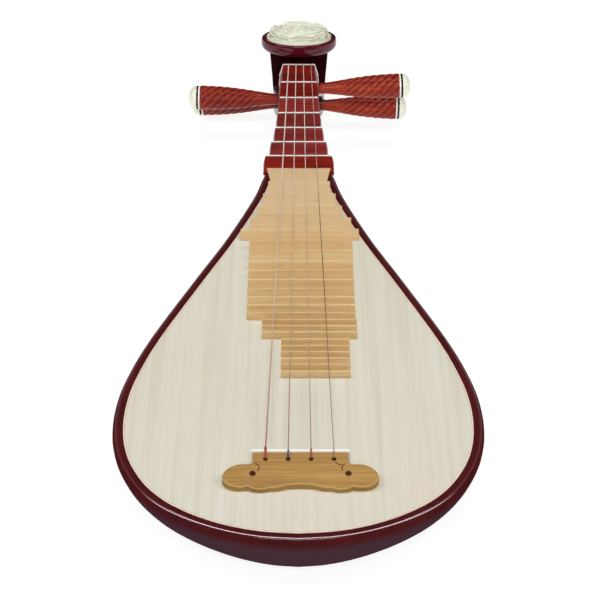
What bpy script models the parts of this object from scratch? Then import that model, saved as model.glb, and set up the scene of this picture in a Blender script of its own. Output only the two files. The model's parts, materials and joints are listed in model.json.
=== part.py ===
"""Pipa: a four-string Chinese lute with six xiang, twenty-four bamboo pins and four tuning pegs.

Every piece is modelled in the instrument's own frame, in metres: the origin is on the soundboard's
upper face straight below the saddle, +Y runs up the neck to the head, +X to the right of someone
looking at the front, and +Z out of the soundboard. All pieces hang from one empty, which lays the
instrument on its back: the bowl and the back of the pegbox touch the plane z = 0, and the middle
of its plan box is at the origin.
"""
import math

import bmesh
import bpy
import numpy as np
from mathutils import Matrix, Vector

# ---- scale and strings -------------------------------------------------------------------------
SCALE_LENGTH = 0.700            # nut to saddle
STRING_REST = 0.014             # height of the saddle's and nut's crests over the soundboard
ACTION = 0.008                  # how far an imaginary fret at the saddle would lie below the strings
XIANG_COUNT = 6
PIN_COUNT = 24
# distance of single pins from their place in equal temperament, by fret number
PIN_SHIFTS = {22: 0.0010, 23: 0.0020, 24: 0.0030, 25: 0.0022, 26: 0.0014, 27: 0.0006, 28: -0.0004,
              29: -0.0014, 30: -0.0045}
STRING_RADII = (0.00065, 0.0005, 0.00045, 0.00035)
STRING_PITCH_SADDLE = 0.0191
STRING_PITCH_NUT = 0.0087
STRING_CENTRE = 0.0011          # the four strings run a little right of the centre line
GAP = 0.0003                    # between pieces that touch

# ---- body --------------------------------------------------------------------------------------
# outer edge of the body and neck, from the tail up the right-hand side: (half width, y)
OUTLINE = [(0.0, -0.0935), (0.0300, -0.0910), (0.0570, -0.0846), (0.0800, -0.0755), (0.1000, -0.0643),
           (0.1180, -0.0505), (0.1340, -0.0325), (0.1460, -0.0120), (0.1550, 0.0110), (0.1605, 0.0400),
           (0.1612, 0.0760), (0.1556, 0.117), (0.1385, 0.1783), (0.1014, 0.277), (0.0736, 0.3487),
           (0.0484, 0.4255), (0.0390, 0.466), (0.0312, 0.500), (0.0274, 0.530), (0.0250, 0.560),
           (0.0236, 0.592), (0.0228, 0.624), (0.0224, 0.661), (0.0226, 0.702)]
NECK_END = 0.702
RIM_WIDTH = 0.0094              # rim around the soundboard
RIM_ROUND = 0.004               # rounding of the rim's outer edge
BOARD_THICK = 0.0046
BOARD_TOP_END = 0.466           # upper end of the soundboard
LEDGE = 0.005                   # the soundboard's seat inside the rim
WALL = 0.008                    # bowl wall
CAVITY_END = 0.405
# depth of the bowl and neck below the soundboard's face: (y, depth)
DEPTHS = [(-0.040, 0.0572), (0.050, 0.0616), (0.140, 0.0612), (0.240, 0.0535), (0.340, 0.0445),
          (0.430, 0.0355), (0.520, 0.0285), (0.610, 0.0255), (0.702, 0.0245)]
# exponent of the bowl's cross-section at the tail and from there up; 2 is an ellipse
BOWL_FULLNESS_TAIL = (-0.020, 2.1)
BOWL_FULLNESS = (0.060, 1.85)
TAIL_FOCUS = 0.036              # below this y the bowl's ribs fan out towards the tail
TAIL_SQUEEZE = 0.60

# ---- nut, xiang and pins -----------------------------------------------------------------------
CAP_THICK = 0.0014
NUT_TOP_HALF = 0.0183
NUT_START = 0.664
NUT_PROUD = 0.0018              # the nut stands this far above the strings' rests, in notches
XIANG_TOE = 0.0065              # height of a xiang's lower end
XIANG_SIDE_LEAN = 0.0021        # how much narrower a xiang's crest is than its foot, each side
XIANG_OVERHANG = 0.0004         # and its foot stands this far out over the neck's edge
PIN_TOP_THICK = 0.0022
PIN_BACK = 0.0021                # a pin's foot reaches this far behind its top's middle
PIN_REACH = ((11, 0.35), (21, 0.12))  # and forwards over this share of the way to the next: (fret, share)
# the pins' left and right ends, for pins one to six and then for three groups
PIN_ENDS = [(-0.0340, 0.0340), (-0.0320, 0.0330), (-0.0372, 0.0385), (-0.0425, 0.0448),
            (-0.0490, 0.0535), (-0.0585, 0.0608)]
PIN_ENDS += [(-0.0490, 0.0537)] * 9 + [(-0.0342, 0.0545)] * 3 + [(-0.0160, 0.0470)] * 6
PIN_ONE_FOOT = 0.0300           # the first pin narrows to this half width at its foot

# ---- bridge ------------------------------------------------------------------------------------
BRIDGE_CENTRE = 0.0018
BRIDGE_CREST = 0.0132
BRIDGE_SLOPE = 0.24             # fall of the bridge's upper face towards the tail
SADDLE_Y = 0.0024                # the saddle's middle
SADDLE_HALF = 0.0413
SADDLE_THICK = 0.0030
STRING_HOLE_Y = -0.0060
STRING_HOLE_RADIUS = 0.0018
# the bridge's right half from above, as smooth stretches that meet in cusps: (x, y)
BRIDGE_STRETCHES = [
    [(0.0400, 0.0006), (0.0402, -0.0106)],
    [(0.0440, -0.0112), (0.0530, -0.0118), (0.0610, -0.0162), (0.0650, -0.0226), (0.0636, -0.0280),
     (0.0580, -0.0327), (0.0500, -0.0343), (0.0435, -0.0331)],
    [(0.0432, -0.0331), (0.0390, -0.0353), (0.0320, -0.0362), (0.0258, -0.0344)],
    [(0.0255, -0.0344), (0.0190, -0.0342), (0.0115, -0.0318), (0.0, -0.0310)],
]

# ---- pegbox, pegs and head ---------------------------------------------------------------------
# centre line of the pegbox and head, from the neck to the cup: (y, z, half width, half thickness)
HEAD_LINE = [(0.690, -0.0118, 0.0226, 0.0118), (0.702, -0.0140, 0.0227, 0.0122),
             (0.7155, -0.0250, 0.0238, 0.0140), (0.735, -0.0495, 0.0255, 0.0152),
             (0.763, -0.0730, 0.0280, 0.0156), (0.790, -0.0865, 0.0308, 0.0156),
             (0.8125, -0.0930, 0.0322, 0.0150), (0.8310, -0.0885, 0.0330, 0.0150),
             (0.8395, -0.0715, 0.0338, 0.0158), (0.8435, -0.0530, 0.0352, 0.0185),
             (0.8475, -0.0330, 0.0368, 0.0220)]
PEGBOX_JOINT = 0.805            # where the head is glued to the pegbox, measured along y
SLOT_HALF_WIDTH = 0.0160
SLOT_BACK = 0.0070              # the slot reaches this far behind the centre line
SLOT_FRONT = 0.0300             # and its cutter this far in front of it
SLOT_MOUTH = (0.7048, -0.0180)  # the slot's end wall behind the nut stands upright here: y, z
SLOT_START, SLOT_END = 0.7110, 0.8000
# tuning pegs from the nut outwards: name, y, z, side of the handle, lean of the handle towards the
# pegbox's front in degrees, and how far the small end reaches
PEGS = [("tuning_peg_1", 0.715, -0.0255, 1, 2.0, 0.0285),
        ("tuning_peg_2", 0.735, -0.0505, -1, 1.2, 0.0290),
        ("tuning_peg_3", 0.767, -0.0745, 1, -1.8, 0.0305),
        ("tuning_peg_4", 0.789, -0.0845, -1, -0.4, 0.0325)]
PEGBOX_SLOPE = math.radians(40.0)
PEG_CLEARANCE = 0.0003
PEG_SHAFT = [(-0.0290, 0.0046), (0.0330, 0.0068)]
PEG_HANDLE = [(0.0390, 0.0075), (0.0460, 0.0085), (0.0570, 0.0101), (0.0700, 0.0119),
              (0.0850, 0.0134), (0.1000, 0.0143), (0.1200, 0.0148)]
PEG_END = 0.1200
PEG_CAP_RING = 0.0046
PEG_CAP_RADIUS = 0.0144
PEG_CAP_DOME = 0.0086
CUP_CENTRE = (0.847, -0.0212)    # middle of the cup's rim: y, z
CUP_TILT = math.radians(8.2)   # the cup leans away towards the head's end
CUP_OVAL = 0.83                 # length of the cup over its width
CUP_PROFILE = [(0.0, -0.0180), (0.0350, -0.0180), (0.0402, -0.0165), (0.0446, -0.0138),
               (0.0470, -0.0100), (0.0474, -0.0050), (0.0468, -0.0012), (0.0454, 0.0), (0.0434, 0.0),
               (0.0425, -0.0010), (0.0420, -0.0060), (0.0, -0.0060)]
FLOWER_RADIUS = 0.0402
FLOWER_HEIGHT = 0.0235

# ---- colours and finishes: base colour, roughness, metallic ------------------------------------
FINISHES = {
    "lacquered_rosewood": ((0.085, 0.008, 0.010), 0.18, 0.0),
    "red_hardwood": ((0.290, 0.030, 0.020), 0.35, 0.0),
    "paulownia": ((0.720, 0.640, 0.480), 0.55, 0.0),
    "spruce_inside": ((0.640, 0.480, 0.280), 0.60, 0.0),
    "bamboo": ((0.620, 0.420, 0.210), 0.45, 0.0),
    "bridge_bamboo": ((0.540, 0.310, 0.090), 0.40, 0.0),
    "white_bone": ((0.830, 0.810, 0.700), 0.35, 0.0),
    "string_nylon": ((0.520, 0.330, 0.260), 0.40, 0.0),
}

parts = None
cutters = None
instrument = None


# ---- helpers -----------------------------------------------------------------------------------
def clear_scene():
    """Remove every object of the open scene."""
    for obj in list(bpy.data.objects):
        bpy.data.objects.remove(obj, do_unlink=True)


def new_collection(name):
    """A collection linked under the scene."""
    collection = bpy.data.collections.new(name)
    bpy.context.scene.collection.children.link(collection)
    return collection


def material(name):
    """The named finish as a Principled BSDF material, made once."""
    found = bpy.data.materials.get(name)
    if found:
        return found
    colour, roughness, metallic = FINISHES[name]
    made = bpy.data.materials.new(name)
    made.use_nodes = True
    shader = made.node_tree.nodes["Principled BSDF"]
    shader.inputs["Base Color"].default_value = (*colour, 1.0)
    shader.inputs["Roughness"].default_value = roughness
    shader.inputs["Metallic"].default_value = metallic
    return made


def make_object(name, bm, finish=None, cutter=False):
    """Turn a bmesh into an object that hangs from the instrument's empty."""
    bmesh.ops.recalc_face_normals(bm, faces=bm.faces)
    mesh = bpy.data.meshes.new(name)
    bm.to_mesh(mesh)
    bm.free()
    return place_mesh(name, mesh, finish, cutter)


def place_mesh(name, mesh, finish=None, cutter=False):
    """Put a mesh in the parts, or in the cutters, as a child of the instrument's empty."""
    obj = bpy.data.objects.new(name, mesh)
    obj.parent = instrument
    if cutter:
        cutters.objects.link(obj)
        obj.hide_render = True
        obj.display_type = "WIRE"
    else:
        parts.objects.link(obj)
        mesh.materials.append(material(finish))
    return obj


def cut(target, tool, operation="DIFFERENCE"):
    """Add a Boolean modifier."""
    modifier = target.modifiers.new(operation.title(), "BOOLEAN")
    modifier.object = tool
    modifier.operation = operation
    modifier.solver = "EXACT"


def curve_through(points, steps):
    """Catmull-Rom curve through points of any dimension, with steps samples for each stretch."""
    p = np.array(points, dtype=float)
    p = np.vstack([2 * p[0] - p[1], p, 2 * p[-1] - p[-2]])
    samples = []
    for i in range(1, len(p) - 2):
        for t in np.linspace(0.0, 1.0, steps, endpoint=False):
            samples.append(0.5 * (2 * p[i] + (p[i + 1] - p[i - 1]) * t
                                  + (2 * p[i - 1] - 5 * p[i] + 4 * p[i + 1] - p[i + 2]) * t ** 2
                                  + (3 * p[i] - p[i - 1] - 3 * p[i + 1] + p[i + 2]) * t ** 3))
    samples.append(p[-2])
    return np.array(samples)


def flat_outline(name, points, low, high, finish=None, cutter=False):
    """A closed outline in the XY plane, filled and extruded from height low to height high."""
    curve = bpy.data.curves.new(name, "CURVE")
    curve.dimensions = "2D"
    curve.fill_mode = "BOTH"
    curve.extrude = (high - low) / 2
    spline = curve.splines.new("POLY")
    spline.points.add(len(points) - 1)
    for point, (x, y) in zip(spline.points, points):
        point.co = (x, y, 0.0, 1.0)
    spline.use_cyclic_u = True
    mesh = mesh_of_curve(name, curve)
    mesh.transform(Matrix.Translation((0.0, 0.0, (high + low) / 2)))
    return place_mesh(name, mesh, finish, cutter)


def mesh_of_curve(name, curve):
    """The welded mesh of a curve, with its faces pointing out."""
    guide = bpy.data.objects.new(name + "_curve", curve)
    cutters.objects.link(guide)
    depsgraph = bpy.context.evaluated_depsgraph_get()
    mesh = bpy.data.meshes.new_from_object(guide.evaluated_get(depsgraph))
    mesh.name = name
    bpy.data.objects.remove(guide, do_unlink=True)
    bm = bmesh.new()
    bm.from_mesh(mesh)
    bmesh.ops.remove_doubles(bm, verts=bm.verts, dist=1e-6)
    bmesh.ops.recalc_face_normals(bm, faces=bm.faces)
    bm.to_mesh(mesh)
    bm.free()
    mesh.materials.clear()
    return mesh


def lathe(bm, profile, matrix, steps):
    """Add a closed turned body to bm: profile of (along the axis, radius) about the X axis."""
    rings = []
    for along, radius in profile:
        if radius == 0.0:
            rings.append([bm.verts.new(matrix @ Vector((along, 0.0, 0.0)))])
            continue
        ring = []
        for k in range(steps):
            angle = 2 * math.pi * k / steps
            point = Vector((along, radius * math.cos(angle), radius * math.sin(angle)))
            ring.append(bm.verts.new(matrix @ point))
        rings.append(ring)
    bridge_rings(bm, rings)


def bridge_rings(bm, rings):
    """Join rings of vertices in order, and close an end that isn't a single vertex."""
    for first, second in zip(rings, rings[1:]):
        count = max(len(first), len(second))
        for k in range(count):
            corners = [first[k % len(first)], first[(k + 1) % len(first)],
                       second[(k + 1) % len(second)], second[k % len(second)]]
            bm.faces.new(list(dict.fromkeys(corners)))
    for ring in (rings[0], rings[-1]):
        if len(ring) > 2:
            bm.faces.new(ring)


def prism(name, profile, half_low, half_high, finish):
    """A bar whose YZ profile runs across the instrument, with leaning ends.

    profile is a list of (y, z); half_low and half_high are the (left, right) ends at the lowest
    and highest point of the profile.
    """
    low = min(z for _, z in profile)
    high = max(z for _, z in profile)
    bm = bmesh.new()
    rings = []
    for side in (0, 1):
        ring = []
        for y, z in profile:
            t = (z - low) / (high - low)
            ring.append(bm.verts.new((half_low[side] * (1 - t) + half_high[side] * t, y, z)))
        rings.append(ring)
    bridge_rings(bm, rings)
    return make_object(name, bm, finish)


# ---- body --------------------------------------------------------------------------------------
def inset(points, distance):
    """Move an open outline inwards, towards the centre line, by a distance."""
    tangents = np.gradient(points, axis=0)
    tangents /= np.linalg.norm(tangents, axis=1)[:, None]
    normals = np.stack([-tangents[:, 1], tangents[:, 0]], axis=1)
    moved = points + distance * normals
    moved[0] = (0.0, points[0, 1] + distance)
    return moved


def depth_at(y):
    """Depth of the bowl or neck at y."""
    samples = curve_through(DEPTHS, 6)
    return float(np.interp(y, samples[:, 0], samples[:, 1]))


def bowl(name, outline, thinner, top, rounding, finish=None, cutter=False):
    """Solid bowl and neck under an outline: half of it, closed by a Mirror modifier.

    Each rib runs from a point of the outline to the keel below the centre line. The ribs of the
    tail fan out from a short stretch of the keel, like the ribs of a shell.
    """
    bm = bmesh.new()
    ribs = []
    for x, y in outline:
        keel_y = y
        if y < TAIL_FOCUS:
            keel_y = TAIL_FOCUS - (TAIL_FOCUS - y) * TAIL_SQUEEZE
        depth = depth_at(keel_y) - thinner
        fullness = np.interp(keel_y, *zip(BOWL_FULLNESS_TAIL, BOWL_FULLNESS))
        centre = Vector((0.0, keel_y, 0.0))
        edge = Vector((x, y, 0.0))
        outward = (edge - centre).normalized()
        rib = [bm.verts.new((0.0, keel_y, top))]
        inner_edge = edge - outward * rounding
        if rounding:
            for k in range(3):
                angle = math.pi / 2 * k / 3
                point = inner_edge + outward * rounding * math.sin(angle)
                drop = rounding * (1.0 - math.cos(angle))
                rib.append(bm.verts.new((point.x, point.y, top - drop)))
        rim = top - rounding
        for k in range(9):
            angle = math.pi / 2 * k / 9
            point = centre.lerp(edge, math.cos(angle) ** (2 / fullness))
            drop = (depth + rim) * math.sin(angle) ** (2 / fullness)
            rib.append(bm.verts.new((point.x, point.y, rim - drop)))
        rib.append(bm.verts.new((0.0, keel_y, -depth)))
        ribs.append(rib)
    for first, second in zip(ribs, ribs[1:]):
        for k in range(len(first) - 1):
            bm.faces.new((first[k], first[k + 1], second[k + 1], second[k]))
    bm.faces.new(ribs[-1])
    bmesh.ops.remove_doubles(bm, verts=bm.verts, dist=1e-6)
    mesh = bpy.data.meshes.new(name)
    bm.to_mesh(mesh)
    bm.free()
    obj = place_mesh(name, mesh, finish, cutter)
    mirror = obj.modifiers.new("Mirror", "MIRROR")
    mirror.merge_threshold = 0.0001
    return obj


def closed_outline(half):
    """The full outline from its right half."""
    left = [(-x, y) for x, y in half[::-1] if x > 1e-5]
    return [tuple(point) for point in half] + left


def body_outline():
    """Samples of the body's right-hand outer edge, dense at the tail."""
    return curve_through(OUTLINE, 3)


def part_below(points, y_end):
    """The stretch of an open outline below y_end, ending exactly there."""
    kept = [tuple(point) for point in points if point[1] < y_end - 0.002]
    xs = np.interp(y_end, points[:, 1], points[:, 0])
    return np.array(kept + [(xs, y_end)])


def build_body():
    """Back shell with neck, soundboard, its braces and the sound post."""
    outline = body_outline()
    shell = bowl("back_shell", outline, 0.0, 0.0, RIM_ROUND, "lacquered_rosewood")
    seat = part_below(inset(outline, RIM_WIDTH - GAP), BOARD_TOP_END + GAP)
    seat_tool = flat_outline("board_seat_cutter", closed_outline(seat), -BOARD_THICK - GAP, 0.002,
                             cutter=True)
    cavity = part_below(inset(outline, RIM_WIDTH + LEDGE), CAVITY_END)
    cavity_tool = bowl("cavity_cutter", cavity, WALL, -0.003, 0.0, cutter=True)
    cut(shell, cavity_tool)
    cut(shell, seat_tool)

    edge = part_below(inset(outline, RIM_WIDTH), BOARD_TOP_END)
    board = flat_outline("soundboard", closed_outline(edge), -BOARD_THICK, 0.0, "paulownia")
    bm = bmesh.new()
    bmesh.ops.create_cone(bm, cap_ends=True, segments=16, radius1=0.005, radius2=0.005, depth=0.02,
                          matrix=Matrix.Translation((BRIDGE_CENTRE, -0.020, 0.0)))
    cut(board, make_object("sound_hole_cutter", bm, cutter=True))

    for which, y, half_width in (("lower", 0.085, 0.100), ("upper", 0.215, 0.086)):
        profile = [(y - 0.004, -BOARD_THICK - GAP), (y + 0.004, -BOARD_THICK - GAP),
                   (y + 0.004, -0.013), (y + 0.002, -0.018), (y - 0.002, -0.018), (y - 0.004, -0.013)]
        low = (-half_width + 0.012, half_width - 0.012)
        high = (-half_width, half_width)
        prism("brace_" + which, profile, low, high, "spruce_inside")

    bottom = -(depth_at(0.020) - WALL) + 4 * GAP
    bm = bmesh.new()
    height = -BOARD_THICK - GAP - bottom
    bmesh.ops.create_cone(bm, cap_ends=True, segments=12, radius1=0.0035, radius2=0.0035, depth=height,
                          matrix=Matrix.Translation((0.0, 0.020, bottom + height / 2)))
    make_object("sound_post", bm, "spruce_inside")


# ---- fingerboard -------------------------------------------------------------------------------
def fret_y(number):
    """Distance of a fret from the saddle, in equal temperament; number 0 is the nut."""
    return SCALE_LENGTH * 2 ** (-number / 12)


def fret_top(number):
    """Height of a fret's top over the soundboard."""
    return STRING_REST - ACTION * (1 - fret_y(number) / SCALE_LENGTH)


def neck_half_width(y):
    """Half width of the neck at y."""
    outline = body_outline()
    return float(np.interp(y, outline[:, 1], outline[:, 0]))


def build_nut():
    """Nut: a wood wedge that slopes to the first xiang, and a notched bone plate behind it."""
    top = STRING_REST + NUT_PROUD
    foot = neck_half_width(SCALE_LENGTH)
    back = SCALE_LENGTH - CAP_THICK / 2 - GAP
    profile = [(NUT_START, GAP), (back, GAP), (back, top - 0.0007), (back - 0.004, top - 0.0012),
               (NUT_START, 0.009)]
    nut = prism("nut", profile, (-foot, foot), (-NUT_TOP_HALF, NUT_TOP_HALF), "red_hardwood")
    front, rear = SCALE_LENGTH - CAP_THICK / 2, SCALE_LENGTH + CAP_THICK / 2
    plate = [(front, GAP), (rear, GAP), (rear, top - 0.0006), (SCALE_LENGTH, top), (front, top)]
    cap = prism("nut_cap", plate, (-foot - GAP, foot + GAP), (-NUT_TOP_HALF - GAP, NUT_TOP_HALF + GAP),
                "white_bone")
    for index, radius in enumerate(STRING_RADII):
        width = radius + GAP
        x = string_x(index, STRING_PITCH_NUT)
        bm = bmesh.new()
        bmesh.ops.create_cube(bm, size=1.0)
        bm.transform(Matrix.Translation((x, SCALE_LENGTH, STRING_REST + 0.005))
                     @ Matrix.Diagonal((2 * width, 0.024, 0.010, 1.0)))
        notch = make_object("nut_notch_cutter_%d" % index, bm, cutter=True)
        cut(cap, notch)
        cut(nut, notch)


def build_xiang():
    """Six wedge-shaped xiang on the neck, each with a bone cap on its crest."""
    for number in range(1, XIANG_COUNT + 1):
        y = fret_y(number)
        top = fret_top(number)
        crest = top - CAP_THICK - GAP
        rear = y + CAP_THICK / 2 + 0.0004
        toe = fret_y(number + 1) + CAP_THICK / 2 + 0.0004 + GAP
        if number == XIANG_COUNT:
            toe = fret_y(number + 1) + PIN_BACK + 2 * GAP
        toe_height = min(XIANG_TOE, crest - 0.004)
        foot = neck_half_width(toe) + XIANG_OVERHANG
        head = foot - XIANG_SIDE_LEAN
        profile = [(toe, GAP), (rear, GAP), (rear, crest), (y - CAP_THICK / 2 - 0.0004, crest),
                   (toe, toe_height)]
        prism("xiang_%d" % number, profile, (-foot, foot), (-head, head), "red_hardwood")
        cap = [(y - CAP_THICK / 2, crest + GAP), (y + CAP_THICK / 2, crest + GAP),
               (y + CAP_THICK / 2, top - 0.0006), (y + CAP_THICK / 4, top), (y - CAP_THICK / 4, top),
               (y - CAP_THICK / 2, top - 0.0006)]
        prism("xiang_cap_%d" % number, cap, (-head, head), (-head + 0.0003, head - 0.0003), "white_bone")


def build_pins():
    """Twenty-four bamboo pins on the soundboard."""
    for index, (left, right) in enumerate(PIN_ENDS):
        number = XIANG_COUNT + 1 + index
        y = fret_y(number) + PIN_SHIFTS.get(number, 0.0)
        top = fret_top(number)
        share = np.interp(number, *zip(*PIN_REACH))
        reach = share * (fret_y(number) - fret_y(number + 1))
        crown = PIN_TOP_THICK / 2
        profile = [(y - reach, GAP), (y + PIN_BACK, GAP), (y + crown, top - 0.0012),
                   (y + crown * 0.55, top), (y - crown * 0.55, top), (y - crown, top - 0.0012)]
        low = (left, right)
        if index == 0:
            low = (-PIN_ONE_FOOT, PIN_ONE_FOOT)
        prism("pin_%02d" % (index + 1), profile, low, (left, right), "bamboo")


# ---- bridge and strings ------------------------------------------------------------------------
def string_x(index, pitch):
    """Place of a string across the instrument, counted from the left."""
    return STRING_CENTRE + (index - 1.5) * pitch


def build_bridge():
    """Bamboo bridge with a cloud-shaped lower edge, its string holes and the bone saddle."""
    half = []
    for stretch in BRIDGE_STRETCHES:
        half += [tuple(point) for point in curve_through(stretch, 4 if len(stretch) > 2 else 1)]
    outline = [(BRIDGE_CENTRE + x, y) for x, y in half]
    outline += [(BRIDGE_CENTRE - x, y) for x, y in half[::-1] if x > 1e-6]
    bm = bmesh.new()
    lower = [bm.verts.new((x, y, GAP)) for x, y in outline]
    upper = [bm.verts.new((x, y, BRIDGE_CREST + BRIDGE_SLOPE * y)) for x, y in outline]
    bridge_rings(bm, [lower, upper])
    bridge = make_object("bridge", bm, "bridge_bamboo")
    for index in range(len(STRING_RADII)):
        bm = bmesh.new()
        place = Matrix.Translation((string_x(index, STRING_PITCH_SADDLE), STRING_HOLE_Y, 0.008))
        bmesh.ops.create_cone(bm, cap_ends=True, segments=12, radius1=STRING_HOLE_RADIUS,
                              radius2=STRING_HOLE_RADIUS, depth=0.03, matrix=place)
        cut(bridge, make_object("string_hole_cutter_%d" % index, bm, cutter=True))
    half_thick = SADDLE_THICK / 2
    shape = [(-half_thick, GAP), (half_thick, GAP), (half_thick, STRING_REST - 0.0004),
             (half_thick * 0.5, STRING_REST), (-half_thick * 0.5, STRING_REST),
             (-half_thick, STRING_REST - 0.0004)]
    profile = [(SADDLE_Y + y, z) for y, z in shape]
    ends = (BRIDGE_CENTRE - SADDLE_HALF, BRIDGE_CENTRE + SADDLE_HALF)
    prism("saddle_strip", profile, ends, ends, "white_bone")


def peg_radius(along):
    """Radius of a peg's shaft at a distance from the pegbox's middle."""
    (x_small, small), (x_large, large) = PEG_SHAFT
    return small + (large - small) * (along - x_small) / (x_large - x_small)


def build_strings():
    """Four strings from the bridge's holes over the saddle and the nut to the pegs."""
    # the outer strings take the pegs nearest the nut on their own side
    peg_of_string = (1, 3, 2, 0)
    for index, radius in enumerate(STRING_RADII):
        x_low = string_x(index, STRING_PITCH_SADDLE)
        x_high = string_x(index, STRING_PITCH_NUT)
        over = STRING_REST + radius + GAP
        peg = PEGS[peg_of_string[index]]
        _, peg_y, peg_z, side, _, _ = peg
        shaft = peg_radius(side * x_high) + radius + 3 * GAP
        start = Vector((SCALE_LENGTH + 0.0020, over - 0.0002))
        axis = peg_matrix(peg).to_3x3().col[0]
        centre = Vector((peg_y, peg_z)) + axis.yz * (x_high / axis.x)
        along = (centre - start).normalized()
        front = Vector((-along.y, along.x))
        touch = centre + front * shaft
        route = [(x_low, STRING_HOLE_Y, 0.004), (x_low, STRING_HOLE_Y, 0.0102),
                 (x_low, STRING_HOLE_Y + 0.0013, 0.0130), (x_low, SADDLE_Y - SADDLE_THICK / 2, over),
                 (x_low, SADDLE_Y, over), (x_high, SCALE_LENGTH, over), (x_high, start.x, start.y),
                 (x_high, touch.x, touch.y)]
        curve = bpy.data.curves.new("string", "CURVE")
        curve.dimensions = "3D"
        curve.bevel_depth = radius
        curve.bevel_resolution = 1
        curve.use_fill_caps = True
        spline = curve.splines.new("POLY")
        spline.points.add(len(route) - 1)
        for point, place in zip(spline.points, route):
            point.co = (*place, 1.0)
        name = "string_%d" % (index + 1)
        place_mesh(name, mesh_of_curve(name, curve), "string_nylon")


# ---- pegbox, head and pegs ---------------------------------------------------------------------
def head_stations(steps=4):
    """Stations along the head's centre line: place, direction, half width, half thickness."""
    samples = curve_through(HEAD_LINE, steps)
    directions = np.gradient(samples[:, :2], axis=0)
    directions /= np.linalg.norm(directions, axis=1)[:, None]
    return samples, directions


def section(half_width, thick_front, thick_back, front_round, back_round, arc=3):
    """Rounded rectangle (x across, n to the front), as a list of points."""
    points = []
    corners = [(1, 1, front_round, 0), (-1, 1, front_round, 90), (-1, -1, back_round, 180),
               (1, -1, back_round, 270)]
    for sx, sn, radius, start in corners:
        thick = thick_front if sn > 0 else thick_back
        cx, cn = sx * (half_width - radius), sn * (thick - radius)
        for k in range(arc + 1):
            angle = math.radians(start + 90 * k / arc)
            points.append((cx + radius * math.cos(angle), cn + radius * math.sin(angle)))
    return points


def sweep(bm, stations, sections):
    """Loft sections along the head's centre line and close both ends."""
    rings = []
    for (place, direction), points in zip(stations, sections):
        front = Vector((0.0, -direction[1], direction[0]))
        origin = Vector((0.0, place[0], place[1]))
        rings.append([bm.verts.new(origin + Vector((x, 0.0, 0.0)) + front * n) for x, n in points])
    bridge_rings(bm, rings)


def head_solid(name, first, last, finish):
    """The stretch of the head between two stations."""
    samples, directions = head_stations()
    bm = bmesh.new()
    stations, sections = [], []
    for k in range(first, last + 1):
        y, z, half_width, half_thick = samples[k]
        back_round = float(np.interp(y, [0.70, 0.74], [0.0108, 0.0065]))
        stations.append(((y, z), directions[k]))
        sections.append(section(half_width, half_thick, half_thick, 0.0025, back_round))
    sweep(bm, stations, sections)
    return make_object(name, bm, finish)


def trim(obj, place, normal):
    """Cut an object's mesh with a plane and keep what lies behind the plane."""
    bm = bmesh.new()
    bm.from_mesh(obj.data)
    cut_edges = bmesh.ops.bisect_plane(bm, geom=bm.verts[:] + bm.edges[:] + bm.faces[:],
                                       plane_co=place, plane_no=normal, clear_outer=True)
    rim = [item for item in cut_edges["geom_cut"] if isinstance(item, bmesh.types.BMEdge)]
    bmesh.ops.contextual_create(bm, geom=rim)
    bmesh.ops.recalc_face_normals(bm, faces=bm.faces)
    bm.to_mesh(obj.data)
    bm.free()


def joint_station():
    """Index of the station where the head is glued to the pegbox."""
    samples, _ = head_stations()
    ys = samples[:30, 0]
    return int(np.argmin(np.abs(ys - PEGBOX_JOINT)))


def build_pegbox():
    """Pegbox with its string slot, open at the front, and the four tapered peg holes."""
    joint = joint_station()
    box = head_solid("pegbox", 0, joint, "lacquered_rosewood")
    trim(box, (0.0, NECK_END + GAP, 0.0), (0.0, -1.0, 0.0))
    (small_x, small_radius), (large_x, large_radius) = PEG_SHAFT
    for peg in PEGS:
        bm = bmesh.new()
        ends = [(small_x - 0.01, small_radius + PEG_CLEARANCE), (small_x, small_radius + PEG_CLEARANCE),
                (large_x, large_radius + PEG_CLEARANCE), (large_x + 0.01, large_radius + PEG_CLEARANCE)]
        lathe(bm, ends, peg_matrix(peg), 20)
        cut(box, make_object(peg[0] + "_hole_cutter", bm, cutter=True))

    samples, directions = head_stations()
    bm = bmesh.new()
    walls = [(SLOT_HALF_WIDTH, SLOT_FRONT), (-SLOT_HALF_WIDTH, SLOT_FRONT),
             (-SLOT_HALF_WIDTH, -SLOT_BACK), (SLOT_HALF_WIDTH, -SLOT_BACK)]
    stations = [(SLOT_MOUTH, (1.0, 0.0))]
    for k in range(joint):
        if SLOT_START <= samples[k, 0] <= SLOT_END:
            stations.append((samples[k, :2], directions[k]))
    sweep(bm, stations, [walls] * len(stations))
    cut(box, make_object("slot_cutter", bm, cutter=True))


def peg_matrix(peg):
    """Place of a peg: its own +X axis points to the handle's end."""
    _, y, z, side, lean, _ = peg
    lean = math.radians(lean)
    front = Vector((0.0, math.sin(PEGBOX_SLOPE), math.cos(PEGBOX_SLOPE)))
    axis = Vector((side * math.cos(lean), 0.0, 0.0)) + front * math.sin(lean)
    return Matrix.Translation((0.0, y, z)) @ axis.to_track_quat("X", "Z").to_matrix().to_4x4()


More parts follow.
